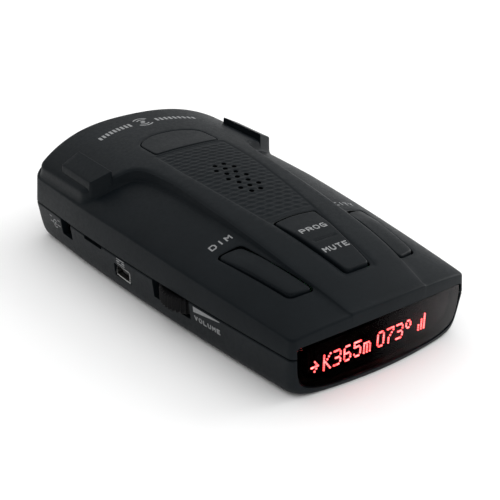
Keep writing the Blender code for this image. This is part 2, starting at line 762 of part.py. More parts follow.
def make_rocker():
    """The two-way key, tipping about a steel pin in a cradle on the key board."""
    y, z = rocker_pivot()
    lug_half = 3.0 * MM
    lug_depth = 2.0 * MM
    key = prism("prog_mute_key", rocker_outline(0.0), SPLIT_Z, FAR, key_plastic())
    depth = ROCKER_THICKNESS + KEY_PROUD
    keep_inside(key, crowned_block("rocker_slab", raised_height, KEY_PROUD, depth))
    lug_top = z + ROCKER_PIVOT_DROP - ROCKER_THICKNESS / 2
    lug_low = z - lug_depth
    lug_size = (2 * lug_half, 2 * lug_depth, lug_top - lug_low)
    join(key, box("rocker_lug", (0.0, y, (lug_top + lug_low) / 2), lug_size))
    for name, distance in ROCKER_SWITCHES:
        stem_y = behind(distance)
        top = raised_height(0.0, stem_y) - ROCKER_THICKNESS / 2
        low = plunger_top() + PRESS_TRAVEL + GAP
        centre = (0.0, stem_y, (top + low) / 2)
        join(key, rod("rocker_stem_" + name, centre, ROCKER_STEM_RADIUS, top - low, sides=12))
    bore = PIN_RADIUS + RUNNING_FIT
    cut(key, rod("rocker_bore", (0.0, y, z), bore, 4 * lug_half, axis="X", sides=24))
    cheek = 1.4 * MM
    cheek_x = lug_half + GAP + cheek / 2
    pin_length = 2 * (cheek_x + cheek / 2)
    rod("rocker_pin", (0.0, y, z), PIN_RADIUS, pin_length, steel(), axis="X", sides=24)
    base_low = KEY_BOARD_TOP + GAP
    base_top = z - lug_depth - 3 * GAP
    width = 2 * (cheek_x + cheek / 2)
    cradle_size = (width, 2 * lug_depth, base_top - base_low)
    cradle = box("rocker_cradle", (0.0, y, (base_low + base_top) / 2), cradle_size, black_resin())
    for side, hand in ((-1, "left"), (1, "right")):
        cheek_top = z + lug_depth - GAP
        height = cheek_top - base_low
        centre = (side * cheek_x, y, base_low + height / 2)
        join(cradle, box("cheek_" + hand, centre, (cheek, 2 * lug_depth, height)))
    cut(cradle, rod("cradle_bore", (0.0, y, z), bore, 4 * lug_half, axis="X", sides=24))
    return key


def make_latch():
    """The release tab for the windscreen mount, tipping down about its back edge."""
    latch = prism("release_latch", latch_outline(0.0), SPLIT_Z, FAR, key_plastic())
    keep_inside(latch, crowned_block("latch_slab", raised_height, 0.0, LATCH_THICKNESS))
    hook_y = ahead(LATCH_FRONT) + 2 * WALL
    top = raised_height(0.0, hook_y) - LATCH_THICKNESS / 2
    hook = (8.0 * MM, 2.4 * MM, 3.2 * MM)
    join(latch, box("latch_hook", (0.0, hook_y, top - hook[2] / 2), hook))
    y, z = latch_pivot()
    lug_top = z + LATCH_PIVOT_DROP - LATCH_THICKNESS / 2
    lug_low = z - 2 * PIN_RADIUS
    lug = (2 * LATCH_LUG_HALF, 4 * PIN_RADIUS, lug_top - lug_low)
    join(latch, box("latch_lug", (0.0, y, (lug_top + lug_low) / 2), lug))
    bore = PIN_RADIUS + RUNNING_FIT
    cut(latch, rod("latch_bore", (0.0, y, z), bore, 4 * LATCH_HALF, axis="X", sides=24))
    pin_length = 2 * (LATCH_CHEEK_X + LATCH_CHEEK / 2)
    rod("latch_pin", (0.0, y, z), PIN_RADIUS, pin_length, steel(), axis="X", sides=24)


def latch_pivot():
    y = ahead(LATCH_PIVOT)
    return y, raised_height(0.0, y) - LATCH_PIVOT_DROP


def add_latch_cheeks(case):
    """The two bosses under the top that carry the latch pin."""
    y, z = latch_pivot()
    low = z - 2 * PIN_RADIUS
    top = raised_height(LATCH_CHEEK_X, y) - WALL / 2
    bore = 2 * (LATCH_CHEEK_X + LATCH_CHEEK)
    for side, hand in ((-1, "left"), (1, "right")):
        size = (LATCH_CHEEK, 4 * PIN_RADIUS, top - low)
        join(case, box("latch_cheek_" + hand, (side * LATCH_CHEEK_X, y, (top + low) / 2), size))
    cut(case, rod("cheek_bore", (0.0, y, z), PIN_RADIUS + RUNNING_FIT, bore, axis="X", sides=24))


def wheel_centre():
    y = behind(WHEEL_PLACE)
    x = -(half_width(y) + WHEEL_PROUD - WHEEL_RADIUS)
    return x, y


def make_volume():
    """The knurled thumbwheel on its potentiometer."""
    x, y = wheel_centre()
    outline = []
    for step in range(2 * WHEEL_TEETH):
        angle = math.pi * step / WHEEL_TEETH
        radius = WHEEL_RADIUS - WHEEL_GROOVE * (step % 2)
        outline.append((radius * math.cos(angle), radius * math.sin(angle)))
    wheel = prism("volume_wheel", outline, 0.0, WHEEL_THICKNESS, key_plastic())
    wheel.location = (x, y, WHEEL_BOTTOM_Z)
    cut(wheel, rod("wheel_bore", (x, y, WHEEL_BOTTOM_Z), WHEEL_BORE, 4 * WHEEL_THICKNESS, sides=32))
    low = BOARD_TOP + GAP
    body_top = WHEEL_BOTTOM_Z - GAP
    size = (*POTENTIOMETER_SIZE, body_top - low)
    body = box("volume_potentiometer", (x, y, (low + body_top) / 2), size, tin_plate())
    shaft_top = WHEEL_BOTTOM_Z + WHEEL_THICKNESS
    middle = (low + shaft_top) / 2
    join(body, rod("volume_shaft", (x, y, middle), WHEEL_BORE - RUNNING_FIT, shaft_top - low, sides=32))


def make_sockets():
    """The data socket and the power jack on the left side."""
    y = behind(USB_PLACE)
    outer = -half_width(y) + 0.8 * MM
    shell = 0.35 * MM
    x = outer + USB_DEPTH / 2
    socket = box("usb_socket", (x, y, usb_z()), (USB_DEPTH, USB_WIDTH, USB_HEIGHT), tin_plate())
    opening = (2 * (USB_DEPTH - WALL), USB_WIDTH - 2 * shell, USB_HEIGHT - 2 * shell)
    cut(socket, box("usb_mouth", (outer, y, usb_z()), opening))
    tongue = (USB_DEPTH - WALL - GAP - WALL / 2, USB_WIDTH / 2, USB_HEIGHT / 4)
    box("usb_tongue", (outer + WALL / 2 + tongue[0] / 2, y, usb_z()), tongue, black_resin())
    y = ahead(JACK_PLACE)
    outer = -half_width(y) + JACK_SETBACK
    centre = (outer + JACK_BODY_DEPTH / 2, y, jack_z())
    jack = box("dc_jack", centre, (JACK_BODY_DEPTH, JACK_BODY_WIDTH, JACK_BODY_HEIGHT), black_resin())
    bore = 2 * (JACK_BODY_DEPTH - WALL)
    cut(jack, rod("jack_bore", (outer, y, jack_z()), JACK_BORE, bore, axis="X"))
    pin_length = JACK_BODY_DEPTH - WALL - GAP - WALL / 2
    pin_x = outer + WALL / 2 + pin_length / 2
    rod("dc_jack_pin", (pin_x, y, jack_z()), JACK_PIN_RADIUS, pin_length, brass(), axis="X", sides=12)


def make_speaker():
    y = behind(GRILLE_CENTRE)
    rim = SPEAKER_RADIUS
    seat = rim - 1.6 * MM
    low = -4.2 * MM
    magnet_radius = 6.4 * MM
    frame = [
        (rim, 0.0),
        (rim, low / 3),
        (magnet_radius + 2 * GAP, low),
        (magnet_radius - GAP, low),
        (seat, low / 4),
        (seat, 0.0),
        (rim, 0.0),
    ]
    turned("speaker_frame", (0.0, y, SPEAKER_TOP_Z), frame, tin_plate())
    edge = seat - GAP
    dome = 4.0 * MM
    sheet = 0.4 * MM
    cone = [
        (0.0, -2.7 * MM),
        (dome, -2.7 * MM),
        (edge, 0.0),
        (edge, -sheet),
        (dome + sheet, -2.7 * MM - sheet),
        (0.0, -2.7 * MM - sheet),
    ]
    turned("speaker_cone", (0.0, y, SPEAKER_TOP_Z), cone, paper_cone())
    top = low - GAP
    bottom = top - 3.5 * MM
    magnet = [(0.0, top), (magnet_radius, top), (magnet_radius, bottom), (0.0, bottom)]
    turned("speaker_magnet", (0.0, y, SPEAKER_TOP_Z), magnet, steel())


def horn_ring(width, height, y):
    corners = ((-1, -1), (1, -1), (1, 1), (-1, 1))
    return [(x * width / 2, y, HORN_Z + z * height / 2) for x, z in corners]


def make_horn():
    """The microwave horn that looks out through the antenna end."""
    wall = 2 * HORN_WALL
    mouth_y = ahead(HORN_MOUTH_PLACE)
    throat_y = mouth_y - HORN_FLARE
    back_y = throat_y - HORN_BODY
    throat = (HORN_THROAT[0] + wall, HORN_THROAT[1] + wall)
    rings = [
        horn_ring(*throat, back_y),
        horn_ring(*throat, throat_y),
        horn_ring(*HORN_MOUTH, mouth_y),
    ]
    horn = loft("horn_antenna", rings, zinc_casting())
    inner = [
        horn_ring(*HORN_THROAT, back_y + HORN_WALL),
        horn_ring(*HORN_THROAT, throat_y),
        horn_ring(HORN_MOUTH[0] - wall, HORN_MOUTH[1] - wall, mouth_y),
        horn_ring(HORN_MOUTH[0] - wall, HORN_MOUTH[1] - wall, mouth_y + HORN_WALL),
    ]
    cut(horn, loft("horn_hollow", inner))
    window_y = CASE_LENGTH / 2 - TIER_BACK_INSET - WALL / 2
    window = (2 * LASER_HALF, WALL, LASER_HEIGHT)
    box("laser_window", (0.0, window_y, LASER_Z), window, smoked_window())
    sensor = (12.0 * MM, 3.0 * MM, 5.0 * MM)
    sensor_y = window_y - WALL / 2 - GAP - sensor[1] / 2
    box("laser_sensor", (0.0, sensor_y, LASER_Z), sensor, black_resin())


def make_boards():
    levels = [(BOARD_INSET, 0.0, BOARD_Z), (BOARD_INSET, 0.0, BOARD_TOP)]
    board = case_stack("main_board", levels, circuit_board())
    for name, x, y in boss_places():
        relief = BOSS_RADIUS + 3 * GAP
        cut(board, rod("board_relief_" + name, (x, y, BOARD_TOP), relief, 8 * BOARD_THICKNESS))
    front = FRONT_LINE + 9.6 * MM
    strip = (2 * FRONT_WIDTH, 2 * (front - FRONT_LINE), 8 * BOARD_THICKNESS)
    cut(board, box("board_front_relief", (0.0, FRONT_LINE - FRONT_BULGE, BOARD_TOP), strip))
    for name, x, y in board_screw_places():
        hole = SCREW_RADIUS + GAP
        cut(board, rod("board_hole_" + name, (x, y, BOARD_TOP), hole, 8 * BOARD_THICKNESS, sides=12))
        head_low = BOARD_TOP + GAP
        screw("board_screw_" + name, x, y, head_low, head_low - BOARD_THICKNESS, up=True)
    span = (14.0 * MM, 42.0 * MM)
    middle = behind((span[0] + span[1]) / 2)
    size = (2 * KEY_BOARD_HALF, span[1] - span[0], KEY_BOARD_THICKNESS)
    box("key_board", (0.0, middle, KEY_BOARD_Z + KEY_BOARD_THICKNESS / 2), size, circuit_board())
    low = BOARD_TOP + GAP
    height = KEY_BOARD_Z - GAP - low
    for side, hand in ((-1, "left"), (1, "right")):
        for along, distance in (("front", span[0] + 3 * MM), ("back", span[1] - 9 * MM)):
            place = (side * (KEY_BOARD_HALF - 5 * MM), behind(distance), low + height / 2)
            rod(f"key_board_post_{along}_{hand}", place, 1.8 * MM, height, brass(), sides=12)


def screw(name, x, y, head_z, tip_z, up=False):
    """A pan-head screw: its head towards -Z, or towards +Z when up is set."""
    reach = tip_z - head_z
    if up:
        profile = [
            (0.0, SCREW_HEAD_HEIGHT),
            (SCREW_HEAD_RADIUS, SCREW_HEAD_HEIGHT),
            (SCREW_HEAD_RADIUS, 0.0),
            (SCREW_RADIUS, 0.0),
            (SCREW_RADIUS, reach),
            (0.0, reach),
        ]
    else:
        profile = [
            (0.0, reach),
            (SCREW_RADIUS, reach),
            (SCREW_RADIUS, SCREW_HEAD_HEIGHT),
            (SCREW_HEAD_RADIUS, SCREW_HEAD_HEIGHT),
            (SCREW_HEAD_RADIUS, 0.0),
            (0.0, 0.0),
        ]
    return turned(name, (x, y, head_z), profile, steel(), steps=12)


def make_case_screws():
    for name, x, y in boss_places():
        screw("case_screw_" + name, x, y, SCREW_RECESS - SCREW_HEAD_HEIGHT, SCREW_TIP_Z - GAP)


def make_components():
    """Chips, cans and capacitors on the main board."""
    parts = (
        ("processor_chip", (-4.0, 30.0), (12.0, 12.0, 1.4), black_resin()),
        ("radar_chip", (8.0, 46.0), (8.0, 8.0, 1.2), black_resin()),
        ("mixer_shield", (0.0, 70.0), (20.0, 12.0, 3.6), tin_plate()),
        ("gps_receiver", (20.5, 66.0), (17.0, 17.0, 2.2), tin_plate()),
        ("voltage_regulator", (-14.2, 66.0), (6.5, 6.0, 2.3), black_resin()),
    )
    for name, (x, distance), (width, length, height), finish in parts:
        centre = (x * MM, behind(distance * MM), BOARD_TOP + GAP + height * MM / 2)
        box(name, centre, (width * MM, length * MM, height * MM), finish)
    antenna = (20.5 * MM, behind(66.0 * MM), BOARD_TOP + 2 * GAP + 2.2 * MM + 2.0 * MM)
    box("gps_antenna", antenna, (15.0 * MM, 15.0 * MM, 4.0 * MM), ceramic())
    for index, (x, distance) in enumerate(((15.6, 50.0), (22.4, 50.0)), start=1):
        height = 7.0 * MM
        centre = (x * MM, behind(distance * MM), BOARD_TOP + GAP + height / 2)
        rod(f"capacitor_{index}", centre, 3.0 * MM, height, tin_plate())
    box("serial_label", (0.0, 0.0, GAP / 2 + LABEL_SIZE[2] / 2), LABEL_SIZE, label_film())


def main():
    clear_scene()
    make_top_case()
    make_bottom_case()
    make_display()
    make_side_key("dim_button", -1)
    make_side_key("city_button", 1)
    make_rocker()
    make_latch()
    make_switch("dim", *side_switch_place(-1), moving=True)
    make_switch("city", *side_switch_place(1), moving=True)
    for name, distance in ROCKER_SWITCHES:
        make_switch(name, 0.0, behind(distance), moving=False)
    make_volume()
    make_sockets()
    make_speaker()
    make_horn()
    make_boards()
    make_case_screws()
    make_components()


main()
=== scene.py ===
"""Looks of a windscreen radar detector: case, smoked window, keys, thumbwheel, sockets and print.

Frame: metres, display end towards -Y, antenna end towards +Y, +Z up, resting on the plane through the origin.
"""

from __future__ import annotations

import logging
import math
from collections.abc import Callable, Iterable
from dataclasses import dataclass, field
from enum import Enum

import bmesh
import bpy
import numpy as np
from mathutils import Matrix, Vector
from mathutils.geometry import delaunay_2d_cdt


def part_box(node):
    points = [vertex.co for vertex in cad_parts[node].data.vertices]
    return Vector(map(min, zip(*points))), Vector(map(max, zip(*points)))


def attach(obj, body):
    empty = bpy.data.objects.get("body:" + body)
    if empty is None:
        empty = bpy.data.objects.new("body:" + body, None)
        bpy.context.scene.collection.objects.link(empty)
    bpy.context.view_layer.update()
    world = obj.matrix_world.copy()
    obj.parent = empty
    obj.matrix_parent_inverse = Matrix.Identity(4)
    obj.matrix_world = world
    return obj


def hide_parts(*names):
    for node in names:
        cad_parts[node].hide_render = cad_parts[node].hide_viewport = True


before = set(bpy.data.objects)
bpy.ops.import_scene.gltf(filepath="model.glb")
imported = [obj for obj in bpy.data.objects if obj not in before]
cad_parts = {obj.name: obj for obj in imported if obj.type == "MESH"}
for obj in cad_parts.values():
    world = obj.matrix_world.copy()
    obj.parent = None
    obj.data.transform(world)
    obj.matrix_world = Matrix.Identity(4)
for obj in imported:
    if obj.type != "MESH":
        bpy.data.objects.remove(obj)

LOG = logging.getLogger("radar_detector")
MM = 0.001
CASE_BODY = "case"
CASE_SCREWS = tuple("case_screw_" + end + hand for end in ("front_", "back_") for hand in ("left", "right"))
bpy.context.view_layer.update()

Array = np.ndarray
Colour = tuple[float, float, float]
Triple = tuple[float, float, float]


# ---------------------------------------------------------------- finishes


class Graph:
    """A material's node tree, with short calls for adding and linking nodes."""

    def __init__(self, name: str) -> None:
        """Start an empty material with one shader and its output.

        Args:
            name: The material's name.
        """
        self.material = bpy.data.materials.new(name)
        self.material.use_nodes = True
        self.tree = self.material.node_tree
        self.shader = self.tree.nodes["Principled BSDF"]
        self.place = self.tree.nodes.new("ShaderNodeTexCoord").outputs["Object"]

    def add(self, kind: str, **inputs: object) -> bpy.types.Node:
        """Add a node and fill its sockets.

        Args:
            kind: The node's type without its ShaderNode prefix.
            inputs: Socket names, with underscores for spaces, and a value or a socket to link.

        Returns:
            The new node.
        """
        node = self.tree.nodes.new("ShaderNode" + kind)
        for key, value in inputs.items():
            socket = node.inputs[key.replace("_", " ")]
            if isinstance(value, bpy.types.NodeSocket):
                self.tree.links.new(value, socket)
            else:
                socket.default_value = value
        return node

    def noise(self, scale: float, detail: float = 3.0, rough: float = 0.55) -> bpy.types.NodeSocket:
        """A noise value over the piece's own coordinates, with scale in features per metre."""
        node = self.add("TexNoise", Vector=self.place, Scale=scale, Detail=detail, Roughness=rough)
        return node.outputs["Fac"]

    def spread(self, value: bpy.types.NodeSocket, low: float, high: float) -> bpy.types.NodeSocket:
        """Map a noise value's usual range to the range from low to high."""
        node = self.add("MapRange", Value=value, From_Min=0.3, From_Max=0.7, To_Min=low, To_Max=high)
        return node.outputs["Result"]

    def blend(self, factor: bpy.types.NodeSocket, first: Colour, second: Colour) -> bpy.types.NodeSocket:
        """Mix two colours by a factor."""
        ramp = self.tree.nodes.new("ShaderNodeValToRGB")
        ramp.color_ramp.elements[0].position = 0.3
        ramp.color_ramp.elements[1].position = 0.7
        ramp.color_ramp.elements[0].color = (*first, 1.0)
        ramp.color_ramp.elements[1].color = (*second, 1.0)
        self.tree.links.new(factor, ramp.inputs["Fac"])
        return ramp.outputs["Color"]

    def bump(self, height: bpy.types.NodeSocket, distance: float, strength: float) -> None:
        """Raise the surface by a height pattern of the given depth in metres."""
        node = self.add("Bump", Height=height, Distance=distance, Strength=strength)
        self.tree.links.new(node.outputs["Normal"], self.shader.inputs["Normal"])

    def wire(self, name: str, value: bpy.types.NodeSocket) -> None:
        """Link a pattern to one of the shader's sockets."""
        self.tree.links.new(value, self.shader.inputs[name])


@dataclass(frozen=True)
class MouldedPlastic:
    """Spark-eroded black plastic: fine even grain, faint tone drift and a soft sheen."""

    name: str
    dark: Colour
    light: Colour
    rough: tuple[float, float] = (0.4, 0.5)
    grain: float = 5200.0
    depth: float = 0.000035
    gloss: float = 0.1

    def make(self) -> bpy.types.Material:
        """Build the material."""
        graph = Graph(self.name)
        drift = graph.noise(70.0)
        grain = graph.noise(self.grain, detail=2.0)
        graph.wire("Base Color", graph.blend(drift, self.dark, self.light))
        graph.wire("Roughness", graph.spread(graph.noise(900.0), *self.rough))
        graph.shader.inputs["Specular IOR Level"].default_value = self.gloss
        graph.bump(grain, self.depth, 0.55)
        return graph.material


@dataclass(frozen=True)
class PrintedInk:
    """Pad-printed ink with slightly uneven cover."""

    name: str
    thin: Colour
    full: Colour

    def make(self) -> bpy.types.Material:
        """Build the material."""
        graph = Graph(self.name)
        graph.wire("Base Color", graph.blend(graph.noise(2600.0), self.thin, self.full))
        graph.wire("Roughness", graph.spread(graph.noise(1500.0), 0.5, 0.65))
        graph.bump(graph.noise(4200.0), 0.00001, 0.4)
        return graph.material


@dataclass(frozen=True)
class SmokedWindow:
    """Dark tinted window moulding, clear enough for lit figures behind it.

    Its index is kept low so that the sky isn't mirrored over the figures. The coat's sheen grows from
    left to right instead.
    """

    name: str
    tint: Colour
    clear: float
    index: float = 1.03
    lighter: float = 1.25
    sheen: tuple[float, float] = (0.0, 0.5)
    sheen_ends: tuple[float, float] = (-0.006, 0.028)

    def make(self) -> bpy.types.Material:
        """Build the material."""
        graph = Graph(self.name)
        light = tuple(min(1.0, self.lighter * part) for part in self.tint)
        graph.wire("Base Color", graph.blend(graph.noise(45.0), self.tint, light))
        graph.wire("Roughness", graph.spread(graph.noise(160.0), 0.01, 0.025))
        graph.shader.inputs["IOR"].default_value = self.index
        graph.shader.inputs["Transmission Weight"].default_value = self.clear
        across = graph.add("SeparateXYZ", Vector=graph.place).outputs["X"]
        left, right = self.sheen_ends
        low, high = self.sheen
        sheen = graph.add("MapRange", Value=across, From_Min=left, From_Max=right, To_Min=low, To_Max=high)
        graph.wire("Coat Weight", sheen.outputs["Result"])
        graph.bump(graph.noise(130.0, detail=1.0), 0.00002, 0.2)
        return graph.material


@dataclass(frozen=True)
class LitDots:
    """Glowing display dots, hotter in their middle tone."""

    name: str
    glow: Colour
    core: Colour
    strength: float

    def make(self) -> bpy.types.Material:
        """Build the material."""
        graph = Graph(self.name)
        tone = graph.blend(graph.noise(700.0), self.glow, self.core)
        graph.wire("Emission Color", tone)
        graph.wire("Base Color", tone)
        graph.shader.inputs["Emission Strength"].default_value = self.strength
        graph.shader.inputs["Roughness"].default_value = 0.4
        return graph.material


@dataclass(frozen=True)
class WorkedMetal:
    """Plated or machined metal with fine drawn lines."""

    name: str
    dark: Colour
    light: Colour
    rough: tuple[float, float] = (0.22, 0.36)
    stretch: tuple[float, float, float] = (300.0, 300.0, 4000.0)

    def make(self) -> bpy.types.Material:
        """Build the material."""
        graph = Graph(self.name)
        mapping = graph.add("Mapping", Vector=graph.place, Scale=self.stretch)
        lines = graph.add("TexNoise", Vector=mapping.outputs["Vector"], Scale=1.0, Detail=3.0).outputs["Fac"]
        graph.wire("Base Color", graph.blend(lines, self.dark, self.light))
        graph.wire("Roughness", graph.spread(lines, *self.rough))
        graph.shader.inputs["Metallic"].default_value = 1.0
        graph.bump(lines, 0.00001, 0.3)
        return graph.material


@dataclass(frozen=True)
class BoardLaminate:
    """Solder-masked board with copper tracks that show as a lighter pattern."""

    name: str
    mask: Colour
    track: Colour

    def make(self) -> bpy.types.Material:
        """Build the material."""
        graph = Graph(self.name)
        tracks = graph.add("TexBrick", Vector=graph.place, Scale=260.0, Mortar_Size=0.09)
        tracks.inputs["Color1"].default_value = (*self.mask, 1.0)
        tracks.inputs["Color2"].default_value = (*(0.8 * part for part in self.mask), 1.0)
        tracks.inputs["Mortar"].default_value = (*self.track, 1.0)
        graph.wire("Base Color", tracks.outputs["Color"])
        graph.wire("Roughness", graph.spread(graph.noise(500.0), 0.3, 0.45))
        graph.bump(tracks.outputs["Fac"], 0.00003, 0.5)
        return graph.material


@dataclass(frozen=True)
class MottledSolid:
    """Resin, ceramic, paper or film: a speckled tone with a fine rough surface."""

    name: str
    dark: Colour
    light: Colour
    rough: tuple[float, float]
    grain: float = 1800.0
    gloss: float = 0.3

    def make(self) -> bpy.types.Material:
        """Build the material."""
        graph = Graph(self.name)
        speckle = graph.noise(self.grain)
        graph.wire("Base Color", graph.blend(speckle, self.dark, self.light))
        graph.wire("Roughness", graph.spread(graph.noise(0.4 * self.grain), *self.rough))
        graph.shader.inputs["Specular IOR Level"].default_value = self.gloss
        graph.bump(speckle, 0.00003, 0.4)
        return graph.material


@dataclass(frozen=True)
class RatingFilm:
    """Silver-grey label film with rows of plain printed bars and no lettering."""

    name: str
    film: Colour
    print_tone: Colour

    def make(self) -> bpy.types.Material:
        """Build the material."""
        graph = Graph(self.name)
        rows = graph.add("TexBrick", Vector=graph.place, Scale=110.0, Mortar_Size=0.18)
        rows.inputs["Color1"].default_value = (*self.print_tone, 1.0)
        rows.inputs["Color2"].default_value = (*self.film, 1.0)
        rows.inputs["Mortar"].default_value = (*self.film, 1.0)
        graph.wire("Base Color", rows.outputs["Color"])
        graph.wire("Roughness", graph.spread(graph.noise(800.0), 0.35, 0.5))
        return graph.material


class Finishes(Enum):
    """Every finish on the detector."""

    CASE = MouldedPlastic("case_black", (0.004, 0.0062, 0.008), (0.0054, 0.008, 0.0102))
    KEY = MouldedPlastic("key_black", (0.0038, 0.0058, 0.0076), (0.005, 0.0074, 0.0094), (0.36, 0.46))
    WHEEL = MouldedPlastic("wheel_black", (0.004, 0.004, 0.0045), (0.006, 0.006, 0.0065), (0.42, 0.55))
    PRINT = PrintedInk("label_print", (0.17, 0.175, 0.18), (0.26, 0.265, 0.27))
    WINDOW = SmokedWindow("smoked_window_clear", (0.2, 0.14, 0.15), 1.0)
    LASER = SmokedWindow("sensor_window_dark", (0.05, 0.015, 0.02), 0.6)
    DOTS = LitDots("display_dots", (1.0, 0.055, 0.05), (1.0, 0.22, 0.2), 20.0)
    FACE = MottledSolid(
        "display_face_black", (0.004, 0.003, 0.0035), (0.006, 0.004, 0.005), (0.4, 0.5), gloss=0.05
    )
    BOARD = BoardLaminate("solder_mask_green", (0.012, 0.09, 0.035), (0.05, 0.2, 0.08))
    RESIN = MottledSolid("black_resin_matt", (0.008, 0.008, 0.009), (0.014, 0.014, 0.015), (0.4, 0.55))
    TIN = WorkedMetal("tin_plate_drawn", (0.3, 0.3, 0.3), (0.46, 0.46, 0.45))
    ZINC = WorkedMetal("zinc_cast", (0.36, 0.36, 0.36), (0.5, 0.5, 0.49), (0.4, 0.55), 3 * (1500.0,))
    STEEL = WorkedMetal("steel_plated", (0.3, 0.3, 0.31), (0.5, 0.5, 0.52))
    BRASS = WorkedMetal("brass_turned", (0.6, 0.43, 0.16), (0.8, 0.6, 0.26))
    CERAMIC = MottledSolid("antenna_ceramic", (0.62, 0.58, 0.5), (0.74, 0.7, 0.62), (0.5, 0.65))
    PAPER = MottledSolid("speaker_paper", (0.02, 0.02, 0.02), (0.05, 0.05, 0.048), (0.8, 0.95), 2600.0)
    FILM = RatingFilm("rating_film", (0.3, 0.31, 0.32), (0.05, 0.05, 0.055))
    FLOOR = MottledSolid("studio_floor", (0.9, 0.9, 0.9), (0.92, 0.92, 0.92), (0.7, 0.8), 12.0)


MADE: dict[Finishes, bpy.types.Material] = {}


def material(finish: Finishes) -> bpy.types.Material:
    """The finish's material, built once."""
    if finish not in MADE:
        MADE[finish] = finish.value.make()
    return MADE[finish]


# ---------------------------------------------------------------- plan rings


def bend(start: Array, middle: Array, end: Array, share: Array | float) -> Array:
    """The place at a share of the way round a corner from start to end that leans on the middle."""
    return (1 - share) ** 2 * start + 2 * share * (1 - share) * middle + share**2 * end


def turn_corners(corners: Iterable[Triple], steps: int = 6) -> Array:
    """Round the corners of a closed outline.

    Args:
        corners: The corners in order, each with the reach of its rounding as a third value.
        steps: Segments in each corner.

    Returns:
        The rounded outline as rows of two values.
    """
    rows = np.array(list(corners), float)
    places = rows[:, :2]
    result = []
    for index, (here, reach) in enumerate(zip(places, rows[:, 2])):
        before = places[index - 1] - here
        after = places[(index + 1) % len(places)] - here
        start = here + before * min(reach / np.linalg.norm(before), 0.47)
        end = here + after * min(reach / np.linalg.norm(after), 0.47)
        result += [bend(start, here, end, step / steps) for step in range(steps + 1)]
    return np.array(result)


def mirrored(half: list[Triple]) -> list[Triple]:
    """A half outline's corners from the right, followed by the same ones on the left."""
    return half + [(-x, y, reach) for x, y, reach in half[::-1]]


def even_steps(ring: Array, spacing: float) -> Array:
    """Points along a closed outline at about the given spacing."""
    closed = np.vstack([ring, ring[:1]])
    lengths = np.linalg.norm(np.diff(closed, axis=0), axis=1)
    along = np.concatenate([[0.0], np.cumsum(lengths)])
    count = max(8, round(along[-1] / spacing))
    marks = np.linspace(0.0, along[-1], count, endpoint=False)
    return np.column_stack([np.interp(marks, along, closed[:, axis]) for axis in (0, 1)])


def outward(ring: Array) -> Array:
    """Unit vectors pointing out of an anticlockwise outline at each of its points."""
    run = np.roll(ring, -1, axis=0) - np.roll(ring, 1, axis=0)
    run /= np.maximum(np.linalg.norm(run, axis=1, keepdims=True), 1e-12)
    return np.column_stack([run[:, 1], -run[:, 0]])


def drawn_in(ring: Array, distance: float) -> Array:
    """An anticlockwise outline moved inwards by the distance."""
    return ring - distance * outward(ring)


def inside(points: Array, ring: Array) -> Array:
    """Which points lie inside the closed outline."""
    x, y = points[:, :1], points[:, 1:]
    ax, ay = ring[:, 0], ring[:, 1]
    bx, by = np.roll(ax, -1), np.roll(ay, -1)
    spans = (ay > y) != (by > y)
    with np.errstate(divide="ignore", invalid="ignore"):
        crossing = ax + (y - ay) / (by - ay) * (bx - ax)
    return (np.sum(spans & (x < crossing), axis=1) % 2).astype(bool)


def depth_within(points: Array, ring: Array) -> Array:
    """Distance of each point from the outline, positive inside and negative outside."""
    result = np.empty(len(points))
    start, end = ring, np.roll(ring, -1, axis=0)
    run = end - start
    span = np.maximum((run**2).sum(axis=1), 1e-12)
    for low in range(0, len(points), 4000):
        part = points[low : low + 4000]
        offset = part[:, None, :] - start[None, :, :]
        share = np.clip((offset * run).sum(axis=2) / span, 0.0, 1.0)
        nearest = offset - share[..., None] * run
        distance = np.sqrt((nearest**2).sum(axis=2)).min(axis=1)
        result[low : low + 4000] = np.where(inside(part, ring), distance, -distance)
    return result


def eased(value: Array, low: float, high: float) -> Array:
    """A smooth step from 0 at low to 1 at high."""
    share = np.clip((value - low) / (high - low), 0.0, 1.0)
    return share * share * (3 - 2 * share)


def stepped(value: Array, steps: Iterable[Triple]) -> Array:
    """A sum of smooth steps, each given by its share of the rise and its low and high ends."""
    return sum(share * eased(value, low, high) for share, low, high in steps)


def edge_fall(depth: Array, radius: float) -> Array:
    """Drop of a rounded edge at a depth inside its outline."""
    reach = np.clip(radius - np.maximum(depth, 0.0), 0.0, radius)
    return radius - np.sqrt(radius**2 - reach**2)


# ---------------------------------------------------------------- case form


